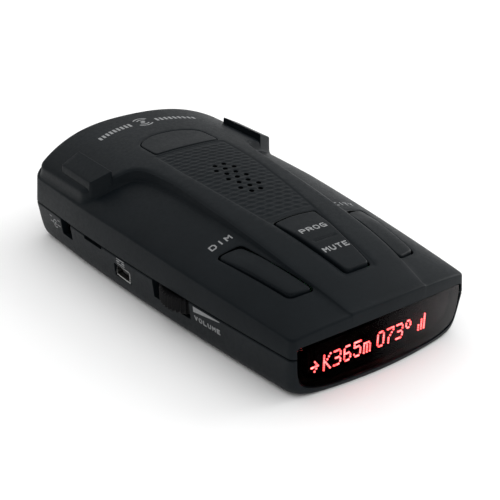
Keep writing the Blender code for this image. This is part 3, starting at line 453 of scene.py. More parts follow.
@dataclass(frozen=True)
class CaseForm:
    """Outline and height rules that the case and everything on it share, in millimetres."""

    length: float = 126.2
    front_half: float = 28.9
    back_half: float = 35.3
    taper_length: float = 95.0
    taper_power: float = 1.6
    front_bulge: float = 2.6
    back_bulge: float = 4.6
    front_corner: float = 1.6
    back_corner: float = 2.8
    foot_front_share: float = 0.2
    foot_corner_share: float = 1.3
    foot_heights: tuple[float, ...] = (0.0, 0.5, 1.7, 4.0, 11.4)
    foot_insets: tuple[float, ...] = (4.6, 2.6, 1.5, 0.9, 0.0)
    split: float = 11.7
    seam: float = 0.3
    draft: float = 1.2
    draft_height: float = 22.0
    edge_front: float = 16.3
    edge_rise: float = 2.3
    edge_run: float = 66.0
    crown_front: float = 3.2
    crown_back: float = 10.7
    crown_run: float = 24.8
    crown_power: float = 2.2
    crown_root: float = 0.7
    step_front: float = 0.4
    step_back: float = 3.3
    spine_run: float = 80.0
    flat_half: float = 22.0
    flat_sink: float = 0.5
    ear_height: float = 2.1
    ear_inner: float = 26.3
    ear_outer: float = 32.3
    ear_front: float = 34.4
    ear_sweep: float = 2.6
    ear_length: float = 19.9
    ear_turn: float = 0.5
    tier_inset: float = 1.3
    tier_back_inset: float = 2.7
    tier_flare: float = 0.4
    spine: tuple[tuple[float, float], ...] = (
        (11.4, -8.0),
        (13.4, 5.4),
        (15.2, 18.2),
        (15.9, 33.7),
        (16.6, 50.0),
        (17.2, 69.0),
    )
    spine_turn: float = 4.0
    shoulder: Triple = (19.0, 1.9, 6.0)
    front_steps: int = 49
    back_steps: int = 57
    corner_steps: int = 8

    @property
    def front(self) -> float:
        """Y of the display corners."""
        return -self.length / 2 + self.front_bulge

    @property
    def back(self) -> float:
        """Y of the antenna corners."""
        return self.length / 2 - self.back_bulge

    def behind(self, distance: float) -> float:
        """Y of a place this far behind the display corners."""
        return self.front + distance

    def ahead(self, distance: float) -> float:
        """Y of a place this far ahead of the antenna corners."""
        return self.back - distance

    def half_width(self, y: Array | float) -> Array:
        """Half the case's width at Y."""
        share = np.clip((np.asarray(y, float) - self.front) / self.taper_length, 0.0, 1.0)
        return self.front_half + (self.back_half - self.front_half) * (1 - (1 - share) ** self.taper_power)

    def deck(self, x: Array, y: Array) -> Array:
        """Height of the crowned top without its raised zone."""
        run = np.maximum(np.asarray(y, float) - self.front, 0.0)
        edge = self.edge_front + self.edge_rise * np.minimum(run / self.edge_run, 1.0)
        crown = self.crown_front + (self.crown_back - self.crown_front) * (1 - np.exp(-run / self.crown_run))
        share = np.minimum(np.abs(x) / self.half_width(y), 1.0)
        return edge + crown * (1 - share**self.crown_power) ** self.crown_root

    def raised(self, x: Array, y: Array) -> Array:
        """Height of the spine and plateau."""
        run = np.clip((np.asarray(y, float) - self.front) / self.spine_run, 0.0, 1.0)
        step = self.step_front + (self.step_back - self.step_front) * run
        flat = (1 - np.minimum(np.abs(x) / self.flat_half, 1.0) ** 2) ** 2
        return self.deck(x, y) + step - self.flat_sink * flat * step / self.step_back

    def foot(self, z: Array) -> Array:
        """How far the rounded underside is drawn in at a height."""
        return np.interp(z, self.foot_heights, self.foot_insets)

    def outline(self, inset: float, foot: float = 0.0, sides: int = 84) -> Array:
        """Plan outline of the case, anticlockwise from its left display corner.

        Args:
            inset: How far the whole outline is drawn in.
            foot: Extra inset of the rounded underside, less at the display end.
            sides: Segments along each side.

        Returns:
            The outline as rows of X and Y, always with the same number of rows.
        """
        side = inset + foot
        front_half = float(self.half_width(self.front)) - side
        back_half = float(self.half_width(self.back)) - side
        front_y = self.front + inset + self.foot_front_share * foot
        back_y = self.back - side
        corner = self.front_corner + self.foot_corner_share * foot
        ends = front_half - corner
        x = np.linspace(-ends, ends, self.front_steps)
        front = np.column_stack([x, front_y - self.front_bulge * (1 - (x / front_half) ** 2)])
        y = np.linspace(front_y + corner, back_y - self.back_corner, sides)
        right = np.column_stack([self.half_width(y) - side, y])
        back_end = back_half - self.back_corner
        x = np.linspace(back_end, -back_end, self.back_steps)
        back = np.column_stack([x, back_y + self.back_bulge * (1 - (x / back_half) ** 2)])
        left = right[::-1] * (-1.0, 1.0)
        share = np.linspace(0.0, 1.0, self.corner_steps)[1:-1, None]
        runs = (front, right, back, left)
        middles = ((front_half, front_y), (back_half, back_y), (-back_half, back_y), (-front_half, front_y))
        parts = []
        for index, (run, middle) in enumerate(zip(runs, middles)):
            following = runs[(index + 1) % len(runs)]
            parts += [run, bend(run[-1], np.array(middle), following[0], share)]
        return np.vstack(parts)

    def wall(self, height: float) -> Array:
        """Outline of the upper case wall at a height, with its draft."""
        share = (height - self.split) / self.draft_height
        return (1 - share) * self.outline(0.0) + share * self.outline(self.draft)

    def tier_ring(self) -> Array:
        """Outline of the spine and plateau."""
        front = self.ahead(self.ear_front)
        half = [(x, self.behind(y), self.spine_turn) for x, y in self.spine]
        shoulder_x, shoulder_drop, shoulder_turn = self.shoulder
        half += [(shoulder_x, front - shoulder_drop, shoulder_turn), (self.ear_inner, front, 0.6)]
        half.append((self.ear_outer, front + self.ear_sweep, 0.6))
        tier_half = float(self.half_width(front)) - self.tier_inset
        half.append((tier_half, front + 2 * self.ear_sweep, 0.9))
        end = self.back - self.tier_back_inset
        half.append((tier_half + self.tier_flare, end, self.back_corner))
        x = np.linspace(0.92 * tier_half, 0.0, 14)
        half += [(a, end + self.back_bulge * (1 - (a / tier_half) ** 2), 1.0) for a in x[:-1]]
        middle = (0.0, end + self.back_bulge, 1.0)
        corners = mirrored(half)
        corners.insert(len(half), middle)
        return turn_corners(corners)

    def ear_ring(self, side: int) -> Array:
        """Outline of one mount ear."""
        front = self.ahead(self.ear_front)
        back = front + self.ear_length
        right = (
            (self.ear_inner, front, self.ear_turn),
            (self.ear_outer, front + self.ear_sweep, self.ear_turn),
            (self.ear_outer, back, self.ear_turn),
            (self.ear_inner, back, self.ear_turn),
        )
        ring = turn_corners(right, steps=3)
        return ring if side > 0 else (ring * (-1.0, 1.0))[::-1]

    def ear_top(self, x: Array) -> Array:
        """Height of an ear's flat seat."""
        middle = self.ahead(self.ear_front) + self.ear_length / 2
        inner = float(self.raised(self.ear_inner, middle))
        outer = float(self.raised(self.ear_outer, middle))
        share = (np.abs(x) - self.ear_inner) / (self.ear_outer - self.ear_inner)
        return inner + (outer - inner) * share + self.ear_height


FORM = CaseForm()


# ---------------------------------------------------------------- meshes


def linked(name: str, data: bpy.types.ID) -> bpy.types.Object:
    """A new object in the scene."""
    obj = bpy.data.objects.new(name, data)
    bpy.context.scene.collection.objects.link(obj)
    return obj


def bare(name: str, builder: bmesh.types.BMesh) -> bpy.types.Object:
    """An object with no finish and no body, whose bmesh is freed here."""
    bmesh.ops.recalc_face_normals(builder, faces=builder.faces)
    mesh = bpy.data.meshes.new(name)
    builder.to_mesh(mesh)
    builder.free()
    return linked(name, mesh)


def finished(
    name: str, builder: bmesh.types.BMesh, finish: Finishes, body: str
) -> bpy.types.Object:
    """Turn a bmesh into a piece that rides on a body.

    Args:
        name: The piece's name.
        builder: The mesh in metres, freed here.
        finish: Its finish.
        body: The body that it moves with.

    Returns:
        The new object.
    """
    obj = bare(name, builder)
    obj.data.materials.append(material(finish))
    smooth(obj)
    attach(obj, body)
    return obj


def smooth(obj: bpy.types.Object, angle: float = 32.0) -> None:
    """Shade smooth, with a sharp edge wherever the surface turns by more than the angle in degrees."""
    obj.data.shade_smooth()
    obj.data.set_sharp_from_angle(angle=math.radians(angle))


def settle(obj: bpy.types.Object) -> None:
    """Make an object's modifiers part of its mesh."""
    bpy.context.view_layer.update()
    graph = bpy.context.evaluated_depsgraph_get()
    mesh = bpy.data.meshes.new_from_object(obj.evaluated_get(graph))
    obj.modifiers.clear()
    obj.data = mesh


def carve(obj: bpy.types.Object, cutters: list[bpy.types.Object]) -> None:
    """Cut solids out of an object and remove them.

    Args:
        obj: The object to cut.
        cutters: The solids, which go away afterwards.
    """
    for cutter in cutters:
        step = obj.modifiers.new("cut_" + cutter.name, "BOOLEAN")
        step.operation = "DIFFERENCE"
        step.solver = "EXACT"
        step.object = cutter
    settle(obj)
    for cutter in cutters:
        bpy.data.objects.remove(cutter, do_unlink=True)


def cutter_block(centre: Triple, size: Triple, round_off: float) -> bpy.types.Object:
    """A block for cutting, with its edges rounded, placed and sized in millimetres."""
    builder = bmesh.new()
    bmesh.ops.create_cube(builder, size=1.0)
    bmesh.ops.scale(builder, vec=Vector(size) * MM, verts=builder.verts)
    bevel_all(builder, round_off)
    bmesh.ops.translate(builder, vec=Vector(centre) * MM, verts=builder.verts)
    return bare("cutter", builder)

def bevel_all(builder: bmesh.types.BMesh, width: float, segments: int = 2) -> None:
    """Round every edge by the width in millimetres."""
    bmesh.ops.bevel(
        builder,
        geom=list(builder.edges),
        offset=width * MM,
        segments=segments,
        profile=0.5,
        affect="EDGES",
        material=-1,
        clamp_overlap=True,
    )


def level(ring: Array, height: float) -> Array:
    """An outline at a height, as rows of X, Y and Z."""
    return np.column_stack([ring, np.full(len(ring), height)])


def lofted(rings: list[Array], ring_shaped: bool = False) -> bmesh.types.BMesh:
    """A closed solid through outlines of equal count.

    Args:
        rings: The outlines in order, as rows of X, Y and Z in millimetres.
        ring_shaped: Whether the last outline joins the first round a hole.

    Returns:
        The solid as a bmesh in metres.
    """
    builder = bmesh.new()
    loops: list[list[bmesh.types.BMEdge]] = []
    for ring in rings:
        made = bmesh.ops.create_circle(builder, segments=len(ring), radius=1.0)["verts"]
        for vertex, point in zip(made, ring):
            vertex.co = Vector(point) * MM
        known = set(made)
        loops.append([edge for edge in builder.edges if edge.verts[0] in known])
    for low, high in zip(loops, loops[1:]):
        bmesh.ops.bridge_loops(builder, edges=low + high)
    if ring_shaped:
        bmesh.ops.bridge_loops(builder, edges=loops[-1] + loops[0])
    else:
        bmesh.ops.contextual_create(builder, geom=loops[0])
        bmesh.ops.contextual_create(builder, geom=loops[-1])
    return builder


Place = Callable[[Array], Array]


@dataclass
class Skin:
    """A moulded skin: a flat drawing meshed between its outlines, then laid on a surface."""

    rim: Array
    holes: list[Array] = field(default_factory=list)
    guides: list[Array] = field(default_factory=list)
    patches: list[tuple[Array, float]] = field(default_factory=list)
    spacing: float = 1.5

    def scatter(self) -> Array:
        """Inner points of the drawing, finer in its patches and clear of its lines."""
        low, high = self.rim.min(axis=0), self.rim.max(axis=0)
        lines = np.vstack([self.rim, *self.holes, *self.guides])
        kept = []
        zones = [(self.rim, self.spacing), *self.patches]
        for index, (zone, spacing) in enumerate(zones):
            x = np.arange(low[0], high[0], spacing)
            y = np.arange(low[1], high[1], spacing * 0.87)
            grid = np.array([(a + 0.5 * spacing * (row % 2), b) for row, b in enumerate(y) for a in x])
            grid = grid[inside(grid, zone) & inside(grid, self.rim)]
            for finer, _ in zones[index + 1 :]:
                grid = grid[~inside(grid, finer)]
            kept.append(self.clear_of(grid, lines, 0.42 * spacing))
        return np.vstack(kept)

    @staticmethod
    def clear_of(grid: Array, lines: Array, distance: float) -> Array:
        """The grid points further than the distance from every line point."""
        keep = np.ones(len(grid), bool)
        for low in range(0, len(grid), 3000):
            part = grid[low : low + 3000]
            nearest = ((part[:, None, :] - lines[None, :, :]) ** 2).sum(axis=2).min(axis=1)
            keep[low : low + 3000] = nearest > distance**2
        return grid[keep]

    def mesh(self, place: Place) -> bmesh.types.BMesh:
        """Mesh the drawing and lay it on a surface.

        Args:
            place: Turns rows of drawing points into rows of points in millimetres.

        Returns:
            The open skin as a bmesh in metres.
        """
        points: list[Array] = []
        edges: list[tuple[int, int]] = []
        for ring in [self.rim, *self.holes, *self.guides]:
            start = sum(len(part) for part in points)
            points.append(ring)
            edges += [(start + i, start + (i + 1) % len(ring)) for i in range(len(ring))]
        points.append(self.scatter())
        flat = [Vector(point) for point in np.vstack(points)]
        found = delaunay_2d_cdt(flat, edges, [], 0, 1e-4, False)
        plan = np.array([tuple(point) for point in found[0]])
        faces = np.array([tuple(face) for face in found[2]])
        centres = plan[faces].mean(axis=1)
        keep = inside(centres, self.rim)
        for hole in self.holes:
            keep &= ~inside(centres, hole)
        solid = place(plan) * MM
        builder = bmesh.new()
        verts = [builder.verts.new(point) for point in solid]
        for face in faces[keep]:
            builder.faces.new([verts[index] for index in face])
        loose = [vertex for vertex in builder.verts if not vertex.link_faces]
        bmesh.ops.delete(builder, geom=loose, context="VERTS")
        return builder


def thicken(obj: bpy.types.Object, depth: float) -> None:
    """Give an open skin a wall of the given depth in millimetres on its inner side."""
    wall = obj.modifiers.new("wall", "SOLIDIFY")
    wall.thickness = depth * MM
    wall.offset = -1.0
    wall.use_rim = True
    wall.use_quality_normals = True
    settle(obj)
    smooth(obj)


def drop_edges(builder: bmesh.types.BMesh, move: Callable[[Vector], Vector], levels: int = 1) -> None:
    """Extrude a skin's open edges.

    Args:
        builder: The skin.
        move: Gives an edge point's next place.
        levels: How many times to extrude.
    """
    for _ in range(levels):
        edges = [edge for edge in builder.edges if edge.is_boundary]
        made = bmesh.ops.extrude_edge_only(builder, edges=edges)["geom"]
        for item in made:
            if isinstance(item, bmesh.types.BMVert):
                item.co = move(item.co)


# ---------------------------------------------------------------- upper case


@dataclass
class KeyShapes:
    """Outlines of the keys, the latch and the grille, in millimetres."""

    side_key: tuple[tuple[float, float], ...] = ((14.5, 10.1), (20.6, 11.5), (24.6, 35.6), (18.1, 34.5))
    key_round: float = 1.6
    rocker: tuple[float, float, float, float] = (10.3, 35.5, 3.8, 6.8)
    rocker_bow: float = 0.4
    latch: Triple = (33.3, 13.5, 11.0)
    latch_shoulder: float = 0.55
    latch_steps: int = 40
    gap: float = 0.45
    spacing: float = 0.45
    grille_rows: tuple[int, ...] = (2, 3, 2, 3, 2, 3, 2)
    grille_spacing: float = 3.1
    grille_pitch: float = 2.9
    grille_centre: float = 60.7
    grille_radius: float = 0.75

    def side_ring(self, side: int, grow: float) -> Array:
        """Outline of a side key, grown by the given amount."""
        corners = np.array([(side * x, FORM.behind(y)) for x, y in self.side_key])
        away = corners - corners.mean(axis=0)
        ring = turn_corners(level(corners + grow * np.sign(away), self.key_round))
        return even_steps(ring if side > 0 else ring[::-1], self.spacing)

    def rocker_ring(self, grow: float) -> Array:
        """Outline of the two-way key."""
        front, back, front_half, back_half = self.rocker
        back_y, front_y = FORM.behind(back) + grow, FORM.behind(front) - grow
        half = [(front_half + grow, front_y, 1.0), (back_half + grow, back_y - self.rocker_bow, 0.9)]
        corners = mirrored(half)
        corners.insert(len(half), (0.0, back_y + self.rocker_bow, 6.0))
        return even_steps(turn_corners(corners), self.spacing)

    def latch_ring(self, grow: float) -> Array:
        """Outline of the release tab."""
        ahead, length, half = self.latch
        half += grow
        front = FORM.ahead(ahead) - grow
        shoulder = FORM.ahead(ahead) + self.latch_shoulder * length
        arch = FORM.ahead(ahead) + length + grow - shoulder
        angles = np.linspace(0.0, math.pi, self.latch_steps)
        curve = [(half * math.cos(a), shoulder + arch * math.sin(a), 0.3) for a in angles]
        corners = [(-half, front, 1.0), (half, front, 1.0), *curve]
        return even_steps(turn_corners(corners, 4), self.spacing)

    def grille_places(self) -> list[tuple[float, float]]:
        """Centres of the speaker holes."""
        places = []
        for row, count in enumerate(self.grille_rows):
            y = FORM.behind(self.grille_centre) + (row - (len(self.grille_rows) - 1) / 2) * self.grille_pitch
            places += [((place - (count - 1) / 2) * self.grille_spacing, y) for place in range(count)]
        return places

    def grille_rings(self, grow: float, count: int = 16) -> list[Array]:
        """Outlines of the speaker holes."""
        angles = np.linspace(0.0, 2 * math.pi, count, endpoint=False)
        circle = (self.grille_radius + grow) * np.column_stack([np.cos(angles), np.sin(angles)])
        return [circle + np.array(place) for place in self.grille_places()]


SHAPES = KeyShapes()


@dataclass
class TopShell:
    """The upper case: crowned deck, spine, plateau, ears, rippled panel and all its openings."""

    wall: float = 1.4
    lip: float = 0.32
    lip_drop: float = 0.22
    brow_round: float = 0.6
    side_brow: float = 0.35
    brow_front: tuple[float, float] = (1.0, 4.0)
    brow_back: float = 3.5
    panel_depth: float = 0.22
    ripple_depth: float = 0.12
    ripple_pitch: float = 1.95
    ripple_width: float = 3.1
    ripple_sway: float = 0.2
    ripple_start: tuple[float, float] = (1.2, 3.0)
    ripple_stop: tuple[float, float] = (2.2, 0.8)
    ripple_side: tuple[float, float] = (0.5, 1.6)
    ripple_clear: tuple[float, float] = (0.9, 1.5)
    tier_rings: tuple[float, ...] = (-0.5, -0.25, -0.08, 0.06, 0.18, 0.32, 0.5, 0.75, 1.1)
    tier_steps: tuple[Triple, ...] = ((0.22, -0.5, 0.05), (0.63, -0.08, 0.32), (0.15, 0.22, 1.1))
    ear_rings: tuple[float, ...] = (-0.3, -0.06, 0.08, 0.16, 0.26)
    ear_steps: tuple[Triple, ...] = ((0.93, -0.06, 0.08), (0.07, 0.05, 0.25))
    rim_rings: tuple[float, ...] = (0.08, 0.22, 0.42, 0.62)
    panel_rings: tuple[float, ...] = (-0.05, 0.25, 0.6)
    panel: tuple[Triple, ...] = (
        (5.3, 8.7, 0.8),
        (5.8, 12.0, 4.0),
        (6.2, 20.0, 4.0),
        (7.2, 29.0, 4.0),
        (8.7, 38.4, 5.0),
        (10.6, 54.0, 6.0),
        (12.1, 70.0, 5.0),
        (12.3, 84.9, 0.8),
    )
    openings: tuple[str, ...] = ("dim", "city", "rocker", "latch")
    opening_rings: tuple[float, ...] = (0.12, 0.34)
    grille_ring: float = 0.2
    spacing: float = 1.45
    fine_spacing: float = 0.4
    fine_halves: Triple = (8.6, 11.0, 12.2)
    fine_behind: tuple[float, float] = (36.4, 56.0)
    fine_ahead: float = 33.8
    attach_within: float = 0.8
    lines: dict[str, Array] = field(default_factory=dict)

    def panel_ring(self) -> Array:
        """Outline of the sunk middle panel that holds the ripples and the two-way key."""
        return turn_corners(mirrored([(x, FORM.behind(y), reach) for x, y, reach in self.panel]))

    def prepare(self) -> None:
        """Work out every line of the drawing once."""
        self.lines["tier"] = even_steps(FORM.tier_ring(), 0.9)
        self.lines["panel"] = even_steps(self.panel_ring(), 0.7)
        self.lines["dim"] = SHAPES.side_ring(-1, SHAPES.gap)
        self.lines["city"] = SHAPES.side_ring(1, SHAPES.gap)
        self.lines["rocker"] = SHAPES.rocker_ring(SHAPES.gap)
        self.lines["latch"] = SHAPES.latch_ring(0.55 * SHAPES.gap)
        for side, hand in ((-1, "left"), (1, "right")):
            self.lines["ear_" + hand] = even_steps(FORM.ear_ring(side), 0.6)
        high = FORM.outline(FORM.draft)
        low = FORM.outline(0.0)
        rise = FORM.deck(high[:, 0], high[:, 1]) - FORM.split
        share = (rise / FORM.draft_height)[:, None]
        self.lines["rim"] = (1 - share) * low + share * high

    def height(self, points: Array) -> Array:
        """Height of the finished top at plan points."""
        x, y = points[:, 0], points[:, 1]
        rise = stepped(depth_within(points, self.lines["tier"]), self.tier_steps)
        z = FORM.deck(x, y) + (FORM.raised(x, y) - FORM.deck(x, y)) * rise
        panel = depth_within(points, self.lines["panel"])
        z -= self.panel_depth * eased(panel, self.panel_rings[0], self.panel_rings[-1])
        z += self.ripples(points, panel)
        for hand in ("left", "right"):
            lift = stepped(depth_within(points, self.lines["ear_" + hand]), self.ear_steps)
            z += (FORM.ear_top(x) - z) * lift
        for name in self.openings:
            z -= self.lip_at(-depth_within(points, self.lines[name]))
        for hole in SHAPES.grille_places():
            z -= 0.5 * self.lip_at(np.hypot(x - hole[0], y - hole[1]) - SHAPES.grille_radius)
        return z - self.brow(points)

    def lip_at(self, away: Array) -> Array:
        """Drop of an opening's rounded edge at a distance from it."""
        near = np.clip(1 - away / self.lip, 0.0, 1.0)
        return self.lip_drop * near**2

    def brow(self, points: Array) -> Array:
        """Rounding of the rim, full across the display end and the antenna end."""
        fall = edge_fall(depth_within(points, self.lines["rim"]), self.brow_round)
        front = 1 - eased(points[:, 1], *(FORM.front + reach for reach in self.brow_front))
        back = eased(points[:, 1], FORM.back - self.brow_back, FORM.back)
        return fall * (self.side_brow + (1 - self.side_brow) * np.maximum(front, back))

    def ripples(self, points: Array, panel: Array) -> Array:
        """Overlapping scale-like ripples between the two-way key and the latch."""
        x, y = points[:, 0], points[:, 1]
        row = y / self.ripple_pitch
        sway = self.ripple_sway * np.cos(2 * math.pi * x / self.ripple_width) * np.cos(math.pi * row)
        wave = np.sin(2 * math.pi * (row + sway))
        low, high = FORM.behind(SHAPES.rocker[1]), FORM.ahead(SHAPES.latch[0])
        mask = eased(y, *(low + reach for reach in self.ripple_start))
        mask = mask * (1 - eased(y, *(high - reach for reach in self.ripple_stop)))
        mask = mask * eased(panel, *self.ripple_side)
        for hole in SHAPES.grille_places():
            mask = mask * eased(np.hypot(x - hole[0], y - hole[1]), *self.ripple_clear)
        return self.ripple_depth * wave * mask

    def drawing(self) -> Skin:
        """The flat drawing of the top with its guide lines."""
        steps = {"rim": self.rim_rings, "tier": self.tier_rings, "ear_left": self.ear_rings}
        steps |= {"ear_right": self.ear_rings, "panel": self.panel_rings}
        guides = [drawn_in(self.lines[name], step) for name, rings in steps.items() for step in rings]
        holes = [self.lines[name] for name in self.openings]
        guides += [drawn_in(hole, -step) for hole in holes for step in self.opening_rings]
        guides += SHAPES.grille_rings(self.grille_ring)
        holes += SHAPES.grille_rings(0.0)
        places = [FORM.behind(y) for y in self.fine_behind] + [FORM.ahead(self.fine_ahead)]
        zone = np.column_stack([self.fine_halves, places])
        patch = np.vstack([zone, zone[::-1] * (-1.0, 1.0)])
        return Skin(self.lines["rim"], holes, guides, [(patch, self.fine_spacing)], self.spacing)

    def build(self) -> bpy.types.Object:
        """Make the upper case."""
        self.prepare()
        builder = self.drawing().mesh(lambda plan: np.column_stack([plan, self.height(plan)]))
        self.drop_walls(builder)
        shell = finished("upper_case", builder, Finishes.CASE, CASE_BODY)
        thicken(shell, self.wall)
        carve(shell, [Window().cutter(0.3), self.sensor_cutter()])
        smooth(shell)
        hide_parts("top_case")
        return shell

    def drop_walls(self, builder: bmesh.types.BMesh) -> None:
        """Extrude the outer rim down to the split line, spreading by the wall's draft.

        Args:
            builder: The open top.
        """
        rim = self.lines["rim"] * MM
        base = FORM.split + FORM.seam / 2
        spread = FORM.wall(base) * MM - rim

        def gaps(vertex: bmesh.types.BMVert) -> Array:
            return np.hypot(rim[:, 0] - vertex.co.x, rim[:, 1] - vertex.co.y)

        edges = [edge for edge in builder.edges if edge.is_boundary]
        reach = self.attach_within * MM
        edges = [edge for edge in edges if max(gaps(vertex).min() for vertex in edge.verts) < reach]
        made = bmesh.ops.extrude_edge_only(builder, edges=edges)["geom"]
        for vertex in [item for item in made if isinstance(item, bmesh.types.BMVert)]:
            x, y = spread[gaps(vertex).argmin()]
            vertex.co = (vertex.co.x + x, vertex.co.y + y, base * MM)

    def sensor_cutter(self) -> bpy.types.Object:
        """The opening for the sensor window at the antenna end."""
        low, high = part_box("laser_window")
        centre = (low + high) / 2 / MM
        size = (high - low) / MM
        return cutter_block((centre.x, centre.y, centre.z), (size.x + 0.6, 14.0, size.z + 0.6), 0.3)


# ---------------------------------------------------------------- display


@dataclass
class Window:
    """The smoked window across the display end."""

    side_inset: float = 1.7
    top_drop: float = 2.1
    crown: float = 1.6
    inset: float = 0.35
    wall: float = 1.8
    edge_round: float = 0.12
    guide_steps: tuple[float, ...] = (0.06, 0.16, 0.36)
    sides: tuple[tuple[float, float], ...] = (
        (0.66, 1.7),
        (0.86, 2.6),
        (0.955, 4.4),
        (0.985, 7.5),
        (1.0, 11.0),
    )

    def ring(self, grow: float) -> Array:
        """Outline seen from the front, as X and Z."""
        half = FORM.front_half - self.side_inset
        top = FORM.edge_front - self.top_drop
        right = [(half * x + grow, z - grow, 3.0) for x, z in self.sides]
        x = np.linspace(1.0, -1.0, 21)
        arc = [((half + grow) * a, top + grow + self.crown * (1 - a * a), 1.0) for a in x]
        corners = right + arc + [(-x, z, reach) for x, z, reach in right[::-1]]
        return even_steps(turn_corners(corners, 5), 0.5)

    def front(self, x: Array, z: Array) -> Array:
        """Y of the display end's face at X and Z."""
        lean = np.maximum(z - FORM.split, 0.0) * FORM.draft / FORM.draft_height
        inset = self.inset + FORM.foot_front_share * FORM.foot(z) + lean
        return FORM.front + inset - FORM.front_bulge * (1 - (x / FORM.front_half) ** 2)

    def cutter(self, grow: float) -> bpy.types.Object:
        """A solid that cuts the window's opening."""
        ends = (-FORM.length / 2 - 2.0, FORM.front + 3.2)
        return bare("window_opening", lofted([np.insert(self.ring(grow), 1, y, axis=1) for y in ends]))

    def build(self) -> bpy.types.Object:
        """Make the window."""
        ring = self.ring(0.0)

        def place(plan: Array) -> Array:
            y = self.front(plan[:, 0], plan[:, 1]) + edge_fall(depth_within(plan, ring), self.edge_round)
            return np.column_stack([plan[:, 0], y, plan[:, 1]])

        guides = [drawn_in(ring, step) for step in self.guide_steps]
        builder = Skin(ring, [], guides, [], 1.2).mesh(place)
        window = finished("smoked_window", builder, Finishes.WINDOW, CASE_BODY)
        face_out(window, Vector((0.0, -1.0, 0.0)))
        thicken(window, self.wall)
        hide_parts("display_lens")
        return window


def face_out(obj: bpy.types.Object, direction: Vector) -> None:
    """Turn an open skin so that its faces look along the direction."""
    total = sum((face.normal * face.area for face in obj.data.polygons), Vector())
    if total.dot(direction) < 0:
        obj.data.flip_normals()


class Glyph(Enum):
    """Plain five-by-seven dot figures, one row of dots per word."""

    ARROW = "00000 00100 00010 11111 00010 00100 00000"
    K = "10001 10010 10100 11000 10100 10010 10001"
    ZERO = "01110 10001 10001 10001 10001 10001 01110"
    THREE = "11110 00001 00001 01110 00001 00001 11110"
    FIVE = "11111 10000 11110 00001 00001 10001 01110"
    SIX = "01110 10000 10000 11110 10001 10001 01110"
    SEVEN = "11111 00001 00010 00100 01000 01000 01000"
    METRE = "00000 00000 11110 10101 10101 10101 10101"
    DEGREE = "01100 10010 10010 01100 00000 00000 00000"
    BARS = "00001 00001 00101 00101 10101 10101 10101"


@dataclass
class Reading:
    """The lit reading: small raised dots on a dark face close behind the window."""

    text: tuple[tuple[Glyph, float], ...] = (
        (Glyph.ARROW, 0.0),
        (Glyph.K, 1.2),
        (Glyph.THREE, 2.2),
        (Glyph.SIX, 3.2),
        (Glyph.FIVE, 4.2),
        (Glyph.METRE, 5.2),
        (Glyph.ZERO, 6.6),
        (Glyph.SEVEN, 7.6),
        (Glyph.THREE, 8.6),
        (Glyph.DEGREE, 9.6),
        (Glyph.BARS, 11.0),
    )
    pitch: tuple[float, float] = (0.5, 0.67)
    dot: float = 0.54
    dot_sides: int = 8
    dot_taper: float = 0.42
    advance: float = 3.25
    span: float = 12.0
    middle: tuple[float, float] = (-2.3, 6.6)
    plane: float = -59.2
    proud: float = 0.1
    face_margin: float = 0.8
    face_gap: float = 0.1
    face_height: float = 10.4
    face_middle: float = 8.0

    def face(self) -> bpy.types.Object:
        """The dark plate that carries the dots, in front of the display module."""
        low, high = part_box("display_module")
        front = self.plane * MM
        builder = bmesh.new()
        bmesh.ops.create_cube(builder, size=1.0)
        width = high.x - low.x - 2 * self.face_margin * MM
        size = Vector((width, low.y - front - self.face_gap * MM, self.face_height * MM))
        bmesh.ops.scale(builder, vec=size, verts=builder.verts)
        bevel_all(builder, 0.25)
        centre = Vector((0.0, front + size.y / 2, self.face_middle * MM))
        bmesh.ops.translate(builder, vec=centre, verts=builder.verts)
        return finished("display_face", builder, Finishes.FACE, CASE_BODY)

    def build(self) -> bpy.types.Object:
        """Make the lit dots."""
        builder = bmesh.new()
        start = self.middle[0] - self.span * self.advance / 2
        for glyph, place in self.text:
            for row, word in enumerate(glyph.value.split()):
                for column, lit in enumerate(word):
                    if lit == "1":
                        x = start + place * self.advance + column * self.pitch[0]
                        z = self.middle[1] + (3 - row) * self.pitch[1]
                        self.add_dot(builder, x, z)
        return finished("display_dots", builder, Finishes.DOTS, CASE_BODY)

    def add_dot(self, builder: bmesh.types.BMesh, x: float, z: float) -> None:
        """Add one dot with softened corners."""
        turn = Matrix.Rotation(math.pi / 2, 4, "X")
        place = Matrix.Translation(Vector((x, self.plane - self.proud, z)) * MM)
        bmesh.ops.create_cone(
            builder,
            cap_ends=True,
            segments=self.dot_sides,
            radius1=self.dot * MM / 2,
            radius2=self.dot * MM * self.dot_taper,
            depth=2 * self.proud * MM,
            matrix=place @ turn,
        )


# ---------------------------------------------------------------- lower case


@dataclass(frozen=True)
class Opening:
    """A rounded opening through the left wall, in millimetres."""

    y: float
    z: float
    size: Triple
    corner: float

    def cutter(self) -> bpy.types.Object:
        """The block that cuts it."""
        return cutter_block((-float(FORM.half_width(self.y)), self.y, self.z), self.size, self.corner)


